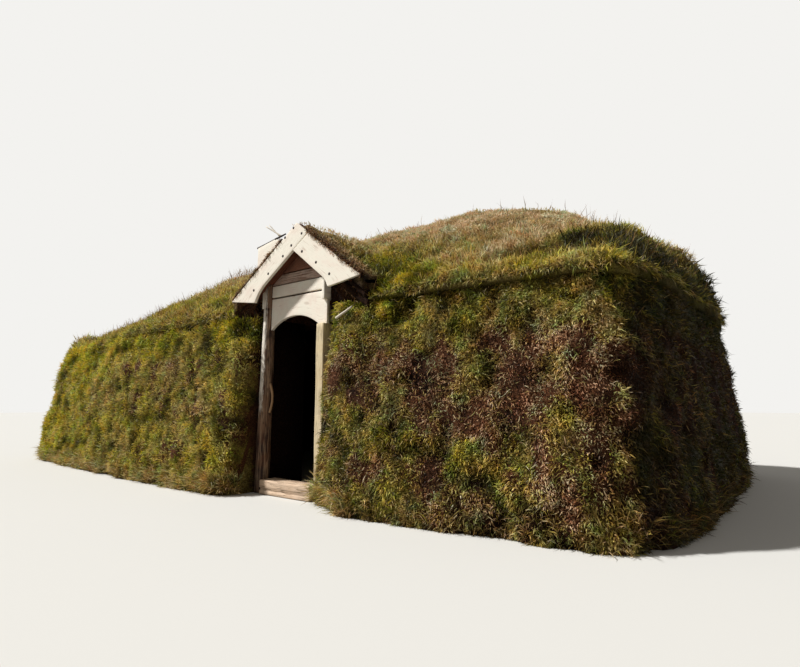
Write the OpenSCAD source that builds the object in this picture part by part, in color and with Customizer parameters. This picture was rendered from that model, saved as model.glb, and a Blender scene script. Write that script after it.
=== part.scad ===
// Turf house: a hall with thick turf walls under a domed turf roof, entered
// by a gabled timber porch. Millimetres. X runs along the house, the front
// faces -Y, Z is up, and the origin is under the middle of the footprint.

/* [Room and turf walls] */
// Length of the room between the end walls
room_length = 7400; // [6000:50:9000]
// Width of the room between the long walls
room_width = 3900; // [3000:50:6000]
// Height of the turf walls over the springs of the doorway's arch
wall_over_spring = 160; // [100:5:300]
// Thickness of a long wall at its foot, half way along
side_foot = 1200; // [1000:10:1800]
// How far the long walls' faces run on past the room before an end rounds off
end_block = 600; // [500:10:900]
// How far an end rounds out past them at its foot
end_foot = 1150; // [900:10:1800]
// How much thinner a long wall is where the ends round off
side_bow = 220; // [0:10:400]
// How far a long wall leans in over its height
side_lean = 340; // [0:10:450]
// How far an end wall leans in over its height
end_lean = 200; // [0:10:450]
// Bend of the lean, 1 for a straight face
lean_power = 1.5; // [1:0.05:2]
// Squareness of the house's corners in plan, 2 for an ellipse
corner_power = 4.2; // [2.5:0.1:8]
// How far the turf rounds back at each side of the doorway
doorside_depth = 430; // [100:10:500]
// Length of wall over which it rounds back
doorside_run = 560; // [200:10:700]

/* [Turf roof] */
// Height of the roof's crest over the wall tops
crest_rise = 1530; // [1300:10:2000]
// How far the crest drops where the ends round off
crest_dip = 580; // [0:10:650]
// How late it drops, 2 for an even curve
crest_bend = 4; // [3:0.5:8]
// Length at the middle of the crest that keeps its line
level_crest = 1400; // [500:50:4000]
// How much the crest's line falls to the left end
crest_fall_left = 260; // [0:10:280]
// How much the crest's line rises to the right end
crest_rise_right = 150; // [0:10:160]
// Height of the roof turf's long swells
roof_swell = 28; // [0:2:40]
// How far the roof turf stands out over the wall turf
eave = 50; // [0:5:120]
// Depth of the roof turf's upright edge
eave_lip = 70; // [20:5:150]
// Fullness of the front and back slopes
slope_power = 1.6; // [1.5:0.05:3]
// Fullness of the rounded ends
end_power = 2.7; // [1.8:0.05:4]
// Thickness of all the roof's layers at the crest
crest_depth = 640; // [600:10:800]

/* [Doorway] */
// Middle of the doorway along the front
door_x = 1595; // [0:5:2600]
// Clear width between the post and the jamb
door_width = 820; // [650:5:1000]
// Height where the arch springs
spring_height = 1840; // [1600:5:1950]
// Rise of the arch over its springs
arch_rise = 135; // [60:5:220]
// Distance of the door frame behind the foot of the turf
frame_recess = 550; // [450:5:700]
// Diameter of the round post on the left
post_d = 156; // [100:2:220]
// Width of the squared jamb on the right
jamb_width = 110; // [60:2:180]
// Depth of the jamb
jamb_depth = 140; // [80:2:200]
// Height of the threshold log
threshold_height = 155; // [80:5:220]
// Depth of the threshold log
threshold_depth = 230; // [140:5:300]

/* [Porch] */
// How far the porch's ridge stands right of the doorway's middle
ridge_offset = 226; // [0:2:350]
// Pitch of the left slope in degrees
pitch_left = 33.4; // [25:0.1:45]
// Height of the left bargeboard's tip over the turf walls
tip_rise_left = 203; // [190:1:260]
// Height of the right bargeboard's tip over the turf walls
tip_rise_right = 234; // [200:1:280]
// Reach of the left bargeboard from the ridge
reach_left = 1136; // [900:2:1300]
// Reach of the right bargeboard from the ridge
reach_right = 941; // [800:2:1200]
// Width of the left bargeboard across its grain
barge_left_width = 220; // [150:2:280]
// Width of the right bargeboard across its grain
barge_right_width = 273; // [180:2:320]
// Width of a bargeboard's level foot
foot_width = 445; // [350:5:520]
// How much lower a foot's inner corner hangs
foot_drop = 60; // [0:2:120]
// Length of the curve over the left foot
flare_left = 177; // [80:1:240]
// Length of the curve over the right foot
flare_right = 86; // [50:1:160]
// Thickness of the bargeboards
barge_t = 35; // [20:1:60]
// How far the bargeboards stand in front of the post's middle
overhang = 220; // [140:2:320]
// Upright depth from the bargeboards' outer edge to the soffit
soffit_drop = 170; // [120:2:220]
// Upright thickness of the porch's roof boards
roof_board_t = 40; // [25:1:60]
// Height of the porch's turf over the bargeboards' outer edge
turf_crest = 60; // [10:2:120]
// Depth of the porch behind the post's middle
porch_depth = 1120; // [700:10:1200]
// Diameter of the porch's ridge pole
pole_d = 150; // [90:2:170]

/* [Gable boards] */
// Thickness of the gable boards
gable_t = 40; // [20:1:60]
// Depth of the arch board at its ends
arch_board_depth = 360; // [300:1:420]
// Width of the lower plank
plank_low_width = 154; // [100:1:200]
// Width of the middle plank
plank_mid_width = 124; // [80:1:170]
// Depth of the left side plate at its outer face
plate_depth = 185; // [140:1:220]
// Thickness of the side plates
plate_t = 40; // [25:1:60]
// How far the side plates stand in front of the post's middle
plate_front = 60; // [40:1:76]
// Length of the turf board along the porch's left slope
turf_board_length = 420; // [200:5:600]
// Height of the turf board over the bargeboard's outer edge
turf_board_rise = 210; // [60:5:260]
// Thickness of the turf board
turf_board_t = 24; // [15:1:40]

/* [Grip] */
// Height of the grip's middle
grip_height = 1055; // [800:5:1300]
// Height of the bow-shaped grip
grip_length = 330; // [200:5:400]
// How far the grip stands out from the post
grip_reach = 62; // [40:1:90]
// Diameter of the grip's wood
grip_d = 26; // [18:1:36]

/* [Timber frame] */
// Thickness of the boards under the roof turf
lining_t = 40; // [25:1:60]
// Upright depth of a rafter
rafter_depth = 110; // [80:2:160]
// Width of a rafter
rafter_width = 90; // [60:2:140]
// Number of rafters on each slope
rafter_count = 9; // [5:1:15]
// Distance from the long walls to the middle of the post rows
aisle_width = 850; // [600:10:1100]
// Depth and width of the purlins
purlin_size = 140; // [100:2:200]
// Depth and width of the tie beams
tie_size = 150; // [100:2:200]
// Width of the ridge beam
ridge_width = 160; // [120:2:240]
// Depth of the ridge beam
ridge_depth = 180; // [120:2:260]
// Width of the posts in the room
inner_post = 150; // [100:2:220]
// Distance of the first tie beam from the left end wall
tie_inset = 400; // [200:10:900]
// Distance of the tie beam left of the doorway from the doorway's middle
tie_before_door = 895; // [800:5:1100]
// Distance of the tie beam right of the doorway from the doorway's middle
tie_past_door = 1105; // [900:5:1200]

/* [Fit] */
// Clearance where pieces seat on each other
fit = 0.3; // [0:0.1:1]

/* [Hidden] */
room_x = room_length / 2;
room_y = room_width / 2;
form_x = room_x + end_block;
row_y = room_y - aisle_width;
wall_height = spring_height + wall_over_spring;
crest_z = wall_height + crest_rise;
lining_ridge = crest_z - crest_depth;
lining_slope = (lining_ridge - wall_height) / room_y;
frame_y = frame_recess - room_y - side_foot;
post_x = door_x - door_width / 2 - post_d / 2;
jamb_x = door_x + door_width / 2;
passage_left = post_x - post_d / 2 - fit;
passage_right = jamb_x + jamb_width + fit;
ridge_x = door_x + ridge_offset;
rise_left = tan(pitch_left);
peak_height = wall_height + tip_rise_left + rise_left * reach_left;
rise_right = (peak_height - wall_height - tip_rise_right) / reach_right;
pitch_right = atan(rise_right);
barge_y = frame_y - overhang;
barge_back = barge_y + barge_t;
porch_back = frame_y + porch_depth;
// The porch's slopes end outside the bargeboards' tips, clear of the wall tops.
soffit_over_wall = peak_height - soffit_drop - wall_height - 8;
porch_left = ridge_x - min(reach_left + 25, soffit_over_wall / rise_left);
porch_right = ridge_x + min(reach_right + 27, soffit_over_wall / rise_right);
plate_right_x = passage_right - fit - 5 - plate_t;
plate_height = peak_height - soffit_drop - rise_left * (ridge_x - post_x + plate_t) - plate_depth;
arch_board_top = spring_height + arch_board_depth;
plank_low_top = arch_board_top + plank_low_width;
plank_mid_top = plank_low_top + plank_mid_width;
wall_levels = [0, 0.35, 0.7, 1];
roof_steps = [1, 0.97, 0.89, 0.78, 0.65, 0.5, 0.35, 0.2, 0.06];
end_angles = [for (i = [-8:8]) i * 90 / 8];

// Half width of the house at a place along it and a share of the wall's height.
function side_out(x, level) =
    room_y + side_foot - side_bow * pow(x / form_x, 2) - side_lean * pow(level, lean_power);

// How far the front has rounded back at a share of the way to the doorway's side.
function rounding(share) = doorside_depth * (1 - sqrt(max(0, 1 - share * share)));

function eave_y(x) = side_out(x, 1) + eave;

// Height of the crest over the wall tops: a line that falls to the left and rises to the right, and
// drops late, where the ends round off.
function crest(x) =
    let (at = min(abs(x), form_x),
         past = max(0, at - level_crest / 2) / (form_x - level_crest / 2),
         tilt = x < 0 ? -crest_fall_left : crest_rise_right)
    crest_rise + tilt * at / form_x - crest_dip * pow(past, crest_bend);

// Long swells of the turf, about 1.7 m apart along the house and 1.3 m apart down the slopes.
function swell(x, share) = roof_swell * sin(x / 4.7 + 60) * cos(800 * share);

// Height of the roof at a share of the way from the crest to the eave.
function step_z(x, share) =
    wall_height + eave_lip + (crest(x) - eave_lip) * (1 - pow(share, slope_power)) + swell(x, share);

function roof_z(x, y) = step_z(x, max(roof_steps[len(roof_steps) - 1], min(1, abs(y) / eave_y(x))));

// Height of the bargeboards' outer edge, which the porch's slopes follow.
function porch_z(x) = peak_height - (x < ridge_x ? rise_left * (ridge_x - x) : rise_right * (x - ridge_x));

function soffit_z(x) = porch_z(x) - soffit_drop;

// Underside of the roof turf over the room.
function lining_z(y) = lining_ridge - lining_slope * abs(y);

// Plan of an end: the long walls' faces run on past the room and half of a squared ellipse joins
// them. out is how far it stands out over the walls, and share draws it in to the middle.
function end_plan(side, reach, power, level, out, share) =
    let (half = (side_out(form_x, level) + out) * share,
         run = [for (i = [0, 1]) let (x = room_x + end_block * i / 2)
             [x, (side_out(x, level) + out) * share]])
    concat([for (p = run) [side * p[0], -side * p[1]]],
        [for (a = end_angles) [side * (form_x + reach * pow(cos(a), 2 / power)),
                               side * half * sign(a) * pow(abs(sin(a)), 2 / power)]],
        [for (i = [1, 0]) [side * run[i][0], side * run[i][1]]]);

// Skins a row of sections that all have the same number of points. The last one may be a curved
// cap, alike on both sides of its middle, which is closed in strips.
module loft(sections, curved = false) {
    n = len(sections[0]);
    last = len(sections) - 1;
    half = floor((n - 1) / 2);
    polyhedron(
        points = [for (s = sections) each s],
        faces = concat(
            [[for (j = [0:n - 1]) j]],
            curved ? [] : [[for (j = [n - 1:-1:0]) last * n + j]],
            curved ? [for (j = [0:half - 1]) let (k = last * n) [k + j + 1, k + j, k + n - 1 - j]] : [],
            curved ? [for (j = [0:half - 1]) if (j + 1 < n - 2 - j) let (k = last * n)
                [k + j + 1, k + n - 1 - j, k + n - 2 - j]] : [],
            [for (i = [0:last - 1], j = [0:n - 1]) let (k = (j + 1) % n)
                [(i + 1) * n + j, (i + 1) * n + k, i * n + k]],
            [for (i = [0:last - 1], j = [0:n - 1]) let (k = (j + 1) % n)
                [(i + 1) * n + j, i * n + k, i * n + j]]));
}

// A block on a grid of places in X and Y, given the heights of its top and its underside.
module slab(xs, ys, tops, unders) {
    w = len(ys);
    last = len(xs) - 1;
    half = len(xs) * w;
    edge = concat([for (j = [0:w - 1]) j], [for (i = [1:last]) i * w + w - 1],
        [for (j = [w - 2:-1:0]) last * w + j], [for (i = [last - 1:-1:1]) i * w]);
    polyhedron(
        points = concat(
            [for (i = [0:last], j = [0:w - 1]) [xs[i], ys[j], unders[i][j]]],
            [for (i = [0:last], j = [0:w - 1]) [xs[i], ys[j], tops[i][j]]]),
        faces = concat(
            [for (i = [0:last - 1], j = [0:w - 2]) [i * w + j, (i + 1) * w + j, (i + 1) * w + j + 1]],
            [for (i = [0:last - 1], j = [0:w - 2]) [i * w + j, (i + 1) * w + j + 1, i * w + j + 1]],
            [for (i = [0:last - 1], j = [0:w - 2]) let (k = half + i * w + j) [k, k + w + 1, k + w]],
            [for (i = [0:last - 1], j = [0:w - 2]) let (k = half + i * w + j) [k, k + 1, k + w + 1]],
            [for (n = [0:len(edge) - 1]) let (a = edge[n], b = edge[(n + 1) % len(edge)]) [a, b, half + b]],
            [for (n = [0:len(edge) - 1]) let (a = edge[n], b = edge[(n + 1) % len(edge)])
                [a, half + b, half + a]]));
}

// Extrudes a profile drawn in X and Z between two places in Y.
module along_y(from, to) {
    translate([0, to, 0]) rotate([90, 0, 0]) linear_extrude(to - from) children();
}

// Extrudes a profile drawn in Y and Z between two places in X.
module along_x(from, to) {
    translate([from, 0, 0]) rotate([90, 0, 90]) linear_extrude(to - from) children();
}

// A length of front wall, from its free end to the side of the doorway.
module front_wall(free, door) {
    toward = sign(door - free);
    shares = [0, 0.35, 0.65, 0.85, 0.96, 1];
    start = door - toward * doorside_run;
    near = start > 0 && free > 0 ? start + (free - start) / 6 : 0;
    xs = concat([for (i = [0:5]) free + (near - free) * i / 5],
        [for (s = shares) start + toward * s * doorside_run]);
    bends = concat([for (i = [0:5]) 0], [for (s = shares) rounding(s)]);
    order = toward > 0 ? [0:len(xs) - 1] : [len(xs) - 1:-1:0];
    loft([for (level = wall_levels) concat(
        [for (i = order) [xs[i], bends[i] - side_out(xs[i], level), level * wall_height]],
        [[max(free, door), -room_y, level * wall_height],
         [min(free, door), -room_y, level * wall_height]])]);
}

module turf_wall_front_left() color("DarkOliveGreen") front_wall(-room_x, passage_left);

module turf_wall_front_right() color("DarkOliveGreen") front_wall(room_x, passage_right);

module turf_wall_back() color("DarkOliveGreen")
    loft([for (level = wall_levels) concat(
        [[-room_x, room_y, level * wall_height], [room_x, room_y, level * wall_height]],
        [for (i = [6:-1:-6]) let (x = room_x * i / 6) [x, side_out(x, level), level * wall_height]])]);

module end_wall(side)
    loft([for (level = wall_levels)
        [for (p = end_plan(side, end_foot - end_lean * pow(level, lean_power), corner_power, level, 0, 1))
            [p[0], p[1], level * wall_height]]]);

module turf_wall_left_end() color("OliveDrab") end_wall(-1);

module turf_wall_right_end() color("OliveDrab") end_wall(1);

// Section of the roof turf on one slope: the seat on the wall, the lining's slope and the domed top.
function roof_section(x, side) =
    let (under = [[x, side * room_y, wall_height], [x, 0, lining_ridge]],
         outer = [for (i = [len(roof_steps) - 1:-1:0])
             [x, side * eave_y(x) * roof_steps[i], step_z(x, roof_steps[i])]],
         all_points = concat([[x, side * eave_y(x), wall_height]], under,
             [[x, 0, step_z(x, roof_steps[len(roof_steps) - 1])]], outer))
    side < 0 ? all_points : [for (i = [len(all_points) - 1:-1:0]) all_points[i]];

module roof_slope(from, to, side, count)
    loft([for (i = [0:count]) roof_section(from + (to - from) * i / count, side)]);

module roof_turf_front_left() color("YellowGreen") roof_slope(-room_x, porch_left, -1, 8);

module roof_turf_front_right() color("YellowGreen") roof_slope(porch_right, room_x, -1, 4);

module roof_turf_back() color("YellowGreen") roof_slope(-room_x, room_x, 1, 12);

// The slope behind the porch, from the porch's back to the crest.
module roof_turf_front_mid() color("YellowGreen") {
    xs = [for (i = [0:4]) porch_left + (porch_right - porch_left) * i / 4];
    ys = [for (j = [0:8]) porch_back * (8 - j) / 8];
    slab(xs, ys, [for (x = xs) [for (y = ys) roof_z(x, y)]], [for (x = xs) [for (y = ys) lining_z(y)]]);
}

// The rounded ends of the roof turf, lying on the end walls.
module roof_end(side) {
    reach = end_foot - end_lean + eave;
    rings = [for (s = roof_steps)
        [for (p = end_plan(side, reach * pow(s, slope_power / end_power), 2 + (corner_power - 2) * s,
                           1, eave, s))
            [p[0], p[1], step_z(p[0], s)]]];
    foot = [for (p = end_plan(side, reach, corner_power, 1, eave, 1)) [p[0], p[1], wall_height]];
    loft(concat([foot], rings), curved = true);
}

module roof_turf_left_end() color("YellowGreen") roof_end(-1);

module roof_turf_right_end() color("YellowGreen") roof_end(1);

// Turf on a slope of the porch, running up into the slope of the main roof.
module porch_turf(from, to, front) {
    xs = [for (i = [0:7]) from + (to - from) * i / 7];
    ys = [for (j = [0:8]) front + (porch_back - front) * j / 8];
    slab(xs, ys, [for (x = xs) [for (y = ys) max(roof_z(x, y), porch_z(x) + turf_crest)]],
        [for (x = xs) [for (y = ys) soffit_z(x) + roof_board_t]]);
}

module porch_turf_left() color("Peru") porch_turf(porch_left, ridge_x, barge_back + turf_board_t + 2 * fit);

module porch_turf_right() color("Peru") porch_turf(ridge_x, porch_right, barge_back + fit);

// Profile of the turf between the wall top and the porch's roof boards.
module cheek(from, to)
    along_y(frame_y + gable_t / 2, porch_back)
        polygon([[from, wall_height], [to, wall_height], [to, soffit_z(to)], [from, soffit_z(from)]]);

module porch_cheek_left() color("SaddleBrown") cheek(porch_left, post_x - plate_t - fit);

module porch_cheek_right() color("SaddleBrown") cheek(plate_right_x + plate_t + fit, porch_right);

module porch_board(from, to)
    along_y(barge_back + fit, porch_back)
        polygon([[from, soffit_z(from)], [to, soffit_z(to)],
                 [to, soffit_z(to) + roof_board_t], [from, soffit_z(from) + roof_board_t]]);

module porch_roof_board_left() color("Sienna") porch_board(porch_left, ridge_x);

module porch_roof_board_right() color("Sienna") porch_board(ridge_x, porch_right);

// The ridge pole lies up under both slopes of the soffit.
pole_z = soffit_z(ridge_x) - (pole_d / 2 + fit) / cos(pitch_right);

module pole_circle(extra) translate([ridge_x, pole_z]) circle(d = pole_d + 2 * extra, $fn = 40);

module porch_ridge_pole() color("RosyBrown") along_y(barge_back + fit, porch_back) pole_circle(0);

// A plate on edge under the porch's boards, its top cut to their slope.
module side_plate(x)
    along_y(frame_y - plate_front, porch_back)
        polygon([[x, plate_height], [x + plate_t, plate_height],
                 [x + plate_t, soffit_z(x + plate_t) - fit], [x, soffit_z(x) - fit]]);

module side_plate_left() color("Wheat") side_plate(post_x - plate_t);

module side_plate_right() color("Wheat") side_plate(plate_right_x);

// The round post, its left half cut away for the side plate and its top cut to the soffit.
module door_post_left() color("DarkGray")
    intersection() {
        translate([post_x, frame_y, 0]) cylinder(d = post_d, h = peak_height, $fn = 48);
        along_y(frame_y - post_d, frame_y + post_d)
            polygon([[post_x - post_d, 0], [post_x + post_d, 0],
                     [post_x + post_d, soffit_z(post_x + post_d) - fit],
                     [post_x + fit, soffit_z(post_x) - fit],
                     [post_x + fit, plate_height - fit], [post_x - post_d, plate_height - fit]]);
    }

module door_jamb_right() color("Cornsilk")
    translate([jamb_x, frame_y - jamb_depth / 2, 0]) cube([jamb_width, jamb_depth, spring_height - fit]);

module threshold_log() color("Tan")
    translate([post_x + post_d / 2 + fit, frame_y - threshold_depth / 2, 0])
        cube([door_width - 2 * fit, threshold_depth, threshold_height]);

// Everything between the post, the right plate and the soffit, where the gable's boards go.
module gable_area()
    polygon([[post_x + post_d / 2 + fit, spring_height], [plate_right_x - fit, spring_height],
             [plate_right_x - fit, soffit_z(plate_right_x) - fit], [ridge_x, soffit_z(ridge_x) - fit],
             [post_x + post_d / 2 + fit, soffit_z(post_x + post_d / 2) - fit]]);

module gable_plank(bottom, top)
    along_y(frame_y - gable_t / 2, frame_y + gable_t / 2)
        difference() {
            intersection() {
                gable_area();
                translate([post_x, bottom]) square([2 * door_width, top - bottom]);
            }
            pole_circle(fit);
        }

module gable_plank_low() color("RosyBrown") gable_plank(arch_board_top + fit, plank_low_top);

module gable_plank_mid() color("RosyBrown") gable_plank(plank_low_top + fit, plank_mid_top);

module gable_plank_top() color("RosyBrown") gable_plank(plank_mid_top + fit, peak_height);

// The board over the door: a flat arch cut in its lower edge, a notch for the right plate.
arch_half = door_width / 2 - 10;
arch_radius = (arch_half * arch_half + arch_rise * arch_rise) / (2 * arch_rise);

module arch_board() color("Cornsilk")
    along_y(frame_y - gable_t / 2, frame_y + gable_t / 2)
        difference() {
            translate([post_x + post_d / 2 + fit, spring_height])
                square([door_width + jamb_width - fit, arch_board_top - spring_height]);
            translate([door_x, spring_height + arch_rise - arch_radius]) circle(r = arch_radius, $fn = 180);
            translate([plate_right_x - fit, plate_height - fit]) square([jamb_width, arch_board_top]);
        }

// A curve that leaves the first point toward the second and arrives at the third.
function bend(a, b, c) =
    [for (i = [0:6]) let (t = i / 6) (1 - t) * (1 - t) * a + 2 * t * (1 - t) * b + t * t * c];

drop_left = barge_left_width / cos(pitch_left);
drop_right = barge_right_width / cos(pitch_right);
inner_peak_x = ridge_x - (drop_right - drop_left) / (rise_left + rise_right);
inner_peak = [inner_peak_x, porch_z(inner_peak_x) - drop_left];
crossing_x = ridge_x + drop_left / (rise_left + rise_right);
crossing = [crossing_x, porch_z(crossing_x)];

function foot(side) =
    let (tip_x = side < 0 ? ridge_x - reach_left : ridge_x + reach_right,
         heel = [tip_x - side * foot_width, porch_z(tip_x) - foot_drop],
         flare = side < 0 ? flare_left : flare_right,
         drop = side < 0 ? drop_left : drop_right,
         start_x = heel[0] - side * flare,
         start = [start_x, porch_z(start_x) - drop],
         knee_x = heel[0] - side * flare * 0.3)
    concat(bend(start, [knee_x, porch_z(knee_x) - drop], heel), [[tip_x, porch_z(tip_x)]]);

// The left bargeboard runs through to the peak.
module bargeboard_left() color("Ivory")
    along_y(barge_y, barge_back) polygon(concat([[ridge_x, peak_height], crossing, inner_peak], foot(-1)));

// The right bargeboard butts against the left one's lower edge.
module bargeboard_right() color("Ivory")
    along_y(barge_y, barge_back) offset(delta = -fit / 2) polygon(concat([crossing, inner_peak], foot(1)));

// A short board behind the left bargeboard that holds back the porch's turf.
module turf_board() color("Ivory") {
    from = ridge_x - reach_left * 0.62;
    to = from + turf_board_length;
    top = porch_z(from) + turf_board_rise + 110;
    along_y(barge_back + fit, barge_back + fit + turf_board_t)
        polygon([[from, soffit_z(from) + roof_board_t + fit], [to, soffit_z(to) + roof_board_t + fit],
                 [to, porch_z(to) + 10], [from + turf_board_length * 0.7, top + 20], [from, top]]);
}

// A bow-shaped grip on the post, inside the doorway.
grip_chord = grip_length / 2;
grip_radius = (grip_chord * grip_chord + grip_reach * grip_reach) / (2 * grip_reach);

module door_grip() color("Sienna")
    intersection() {
        translate([post_x + post_d / 2 + grip_reach - grip_radius, frame_y, grip_height])
            rotate([90, 0, 0]) rotate_extrude($fn = 120)
                translate([grip_radius - grip_d / 2, 0]) circle(d = grip_d, $fn = 16);
        translate([post_x + post_d / 2 + fit, frame_y - grip_d, grip_height - grip_length])
            cube([grip_reach * 2, 2 * grip_d, 2 * grip_length]);
    }

// Boards under the roof turf, with their top on the turf's underside.
module lining(from, to, outer, side)
    along_x(from, to)
        polygon([[0, lining_ridge], [0, lining_ridge - lining_t],
                 [side * outer, lining_z(outer) - lining_t], [side * outer, lining_z(outer)]]);

// The front boards stop at the back of the porch.
module roof_boards_front() color("BurlyWood")
    difference() {
        lining(-room_x, room_x, room_y, -1);
        translate([porch_left, -2 * room_y, 0])
            cube([porch_right - porch_left, 2 * room_y + porch_back, 2 * crest_z]);
    }

module roof_boards_back() color("BurlyWood") lining(-room_x, room_x, room_y, 1);

// Rafters at even places, cut short over the porch.
function rafter_x(i) = (i - (rafter_count - 1) / 2) * (room_length - 2 * rafter_width) / (rafter_count - 1);

module rafters(side)
    for (i = [0:rafter_count - 1]) {
        x = rafter_x(i);
        short = side < 0 && x > porch_left - rafter_width && x < porch_right + rafter_width;
        outer = short ? -porch_back : room_y;
        top = lining_t + fit;
        along_x(x - rafter_width / 2, x + rafter_width / 2)
            polygon([[side * fit / 2, lining_z(0) - top],
                     [side * fit / 2, lining_z(0) - top - rafter_depth],
                     [side * outer, lining_z(outer) - top - rafter_depth],
                     [side * outer, lining_z(outer) - top]]);
    }

module rafters_front() color("Peru") rafters(-1);

module rafters_back() color("Peru") rafters(1);

// Height of the rafters' underside, which the purlins and the ridge beam are cut to.
function rafter_under(y) = lining_z(y) - lining_t - rafter_depth - 2 * fit;

purlin_bottom = rafter_under(row_y) - purlin_size;

module purlins() color("Sienna")
    for (side = [-1, 1])
        along_x(-room_x + fit, room_x - fit)
            polygon([for (p = [[-1, 0], [1, 0], [1, 1], [-1, 1]]) let (y = row_y + p[0] * purlin_size / 2)
                [side * y, p[1] > 0 ? rafter_under(y) : purlin_bottom]]);

module ridge_beam() color("Sienna")
    along_x(-room_x + fit, room_x - fit)
        polygon([[-ridge_width / 2, rafter_under(0) - ridge_depth],
                 [ridge_width / 2, rafter_under(0) - ridge_depth],
                 [ridge_width / 2, rafter_under(ridge_width / 2)], [0, rafter_under(0)],
                 [-ridge_width / 2, rafter_under(ridge_width / 2)]]);

// Tie beams cross the room on the posts and carry the purlins and the king posts: one at each side
// of the doorway, one by the left end and one half way between.
tie_first = tie_inset - room_x;
tie_near = door_x - tie_before_door;
tie_places = [tie_first, (tie_first + tie_near) / 2, tie_near, door_x + tie_past_door];

tie_top = purlin_bottom - fit;

module at_ties() for (x = tie_places) translate([x, 0, 0]) children();

module tie_beams() color("Sienna")
    at_ties() translate([-tie_size / 2, -row_y - tie_size, tie_top - tie_size])
        cube([tie_size, 2 * (row_y + tie_size), tie_size]);

module king_posts() color("Sienna")
    at_ties() translate([-inner_post / 2, -inner_post / 2, tie_top + fit])
        cube([inner_post, inner_post, rafter_under(0) - ridge_depth - tie_top - 2 * fit]);

module room_posts() color("Sienna")
    at_ties() for (side = [-1, 1])
        translate([-inner_post / 2, side * row_y - inner_post / 2, 0])
            cube([inner_post, inner_post, tie_top - tie_size - fit]);

turf_wall_front_left();
turf_wall_front_right();
turf_wall_back();
turf_wall_left_end();
turf_wall_right_end();
roof_turf_front_left();
roof_turf_front_mid();
roof_turf_front_right();
roof_turf_back();
roof_turf_left_end();
roof_turf_right_end();
porch_turf_left();
porch_turf_right();
porch_cheek_left();
porch_cheek_right();
porch_roof_board_left();
porch_roof_board_right();
porch_ridge_pole();
side_plate_left();
side_plate_right();
door_post_left();
door_jamb_right();
threshold_log();
arch_board();
gable_plank_low();
gable_plank_mid();
gable_plank_top();
bargeboard_left();
bargeboard_right();
turf_board();
door_grip();
roof_boards_front();
roof_boards_back();
rafters_front();
rafters_back();
purlins();
ridge_beam();
tie_beams();
king_posts();
room_posts();
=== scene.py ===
"""Looks of the turf house: a hall of stacked sods under a domed grass roof, with a gabled timber porch.

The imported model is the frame. Every piece here is a surface worked out with numpy in metres, in the
frame's own places: X along the house, -Y out of the front, Z up.
"""
import math

import bmesh
import bpy
import numpy as np
from bpy.props import FloatProperty, FloatVectorProperty, IntProperty, PointerProperty
from bpy.types import Operator, Panel, PropertyGroup
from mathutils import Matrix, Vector


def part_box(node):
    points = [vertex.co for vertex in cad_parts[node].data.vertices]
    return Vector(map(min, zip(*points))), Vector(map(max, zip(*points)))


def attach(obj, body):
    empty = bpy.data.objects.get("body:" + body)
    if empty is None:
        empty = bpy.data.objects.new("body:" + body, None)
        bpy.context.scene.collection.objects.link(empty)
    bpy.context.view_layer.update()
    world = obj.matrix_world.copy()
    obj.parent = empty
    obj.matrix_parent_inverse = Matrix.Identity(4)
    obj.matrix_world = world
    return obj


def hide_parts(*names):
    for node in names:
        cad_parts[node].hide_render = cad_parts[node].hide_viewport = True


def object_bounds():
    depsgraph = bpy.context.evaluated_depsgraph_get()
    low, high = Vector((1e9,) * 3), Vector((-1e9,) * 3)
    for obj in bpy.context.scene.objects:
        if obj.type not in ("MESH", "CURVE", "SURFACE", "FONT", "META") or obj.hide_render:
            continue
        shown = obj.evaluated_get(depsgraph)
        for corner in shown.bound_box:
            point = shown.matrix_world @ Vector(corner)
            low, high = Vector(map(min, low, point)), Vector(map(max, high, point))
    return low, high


bl_info = {
    "name": "Turf house",
    "version": (1, 0, 0),
    "blender": (4, 5, 0),
    "location": "3D View > Sidebar > Turf house",
    "description": "Builds the turf, grass and timber of a turf house round its packed model",
    "category": "Add Mesh",
}

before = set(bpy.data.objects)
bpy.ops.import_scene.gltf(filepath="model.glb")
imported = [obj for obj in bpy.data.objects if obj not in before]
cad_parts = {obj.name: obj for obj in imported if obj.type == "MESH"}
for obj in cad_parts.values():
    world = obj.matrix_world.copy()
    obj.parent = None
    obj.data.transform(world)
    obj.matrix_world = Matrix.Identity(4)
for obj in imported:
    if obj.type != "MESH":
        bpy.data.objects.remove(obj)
CAD_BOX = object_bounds()

WALLS = ["turf_wall_front_left", "turf_wall_front_right", "turf_wall_back", "turf_wall_left_end",
         "turf_wall_right_end"]
ROOFS = ["roof_turf_front_left", "roof_turf_front_mid", "roof_turf_front_right", "roof_turf_back",
         "roof_turf_left_end", "roof_turf_right_end"]
FRAME_TIMBER = {"roof_boards_front": "Y", "roof_boards_back": "Y", "rafters_front": "Y",
                "rafters_back": "Y", "purlins": "X", "ridge_beam": "X", "tie_beams": "Y",
                "king_posts": "Z", "room_posts": "Z"}
ROOF_END_POWER = 2.0  # squareness of the roof's plan near the crest
SOFFIT_DROP = 0.17    # from the bargeboards' outer edge down to the porch's roof boards
BOARD_T = 0.04        # thickness of those boards
FIT = 0.0003          # play between pieces that touch
GROW_OUT = 0.085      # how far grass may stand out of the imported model's box
SOD_OUT = 0.012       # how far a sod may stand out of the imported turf
GROUND_GAP = 0.002    # least height of a blade's points
FRONT = -1.2          # what lies before this Y counts as the front
PORCH_BACK = -1.2     # where the porch's turf has run out into the roof
UP = np.array([0, 0, 1.0])


def linear(hex_colour):
    """Turns an sRGB hex colour into the linear values that Blender works with."""
    parts = [int(hex_colour[i:i + 2], 16) / 255 for i in (1, 3, 5)]
    return tuple(c / 12.92 if c <= 0.04045 else ((c + 0.055) / 1.055) ** 2.4 for c in parts)


def metres(name, default, about):
    return FloatProperty(name=name, description=about, default=default, unit="LENGTH", precision=4)


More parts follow.
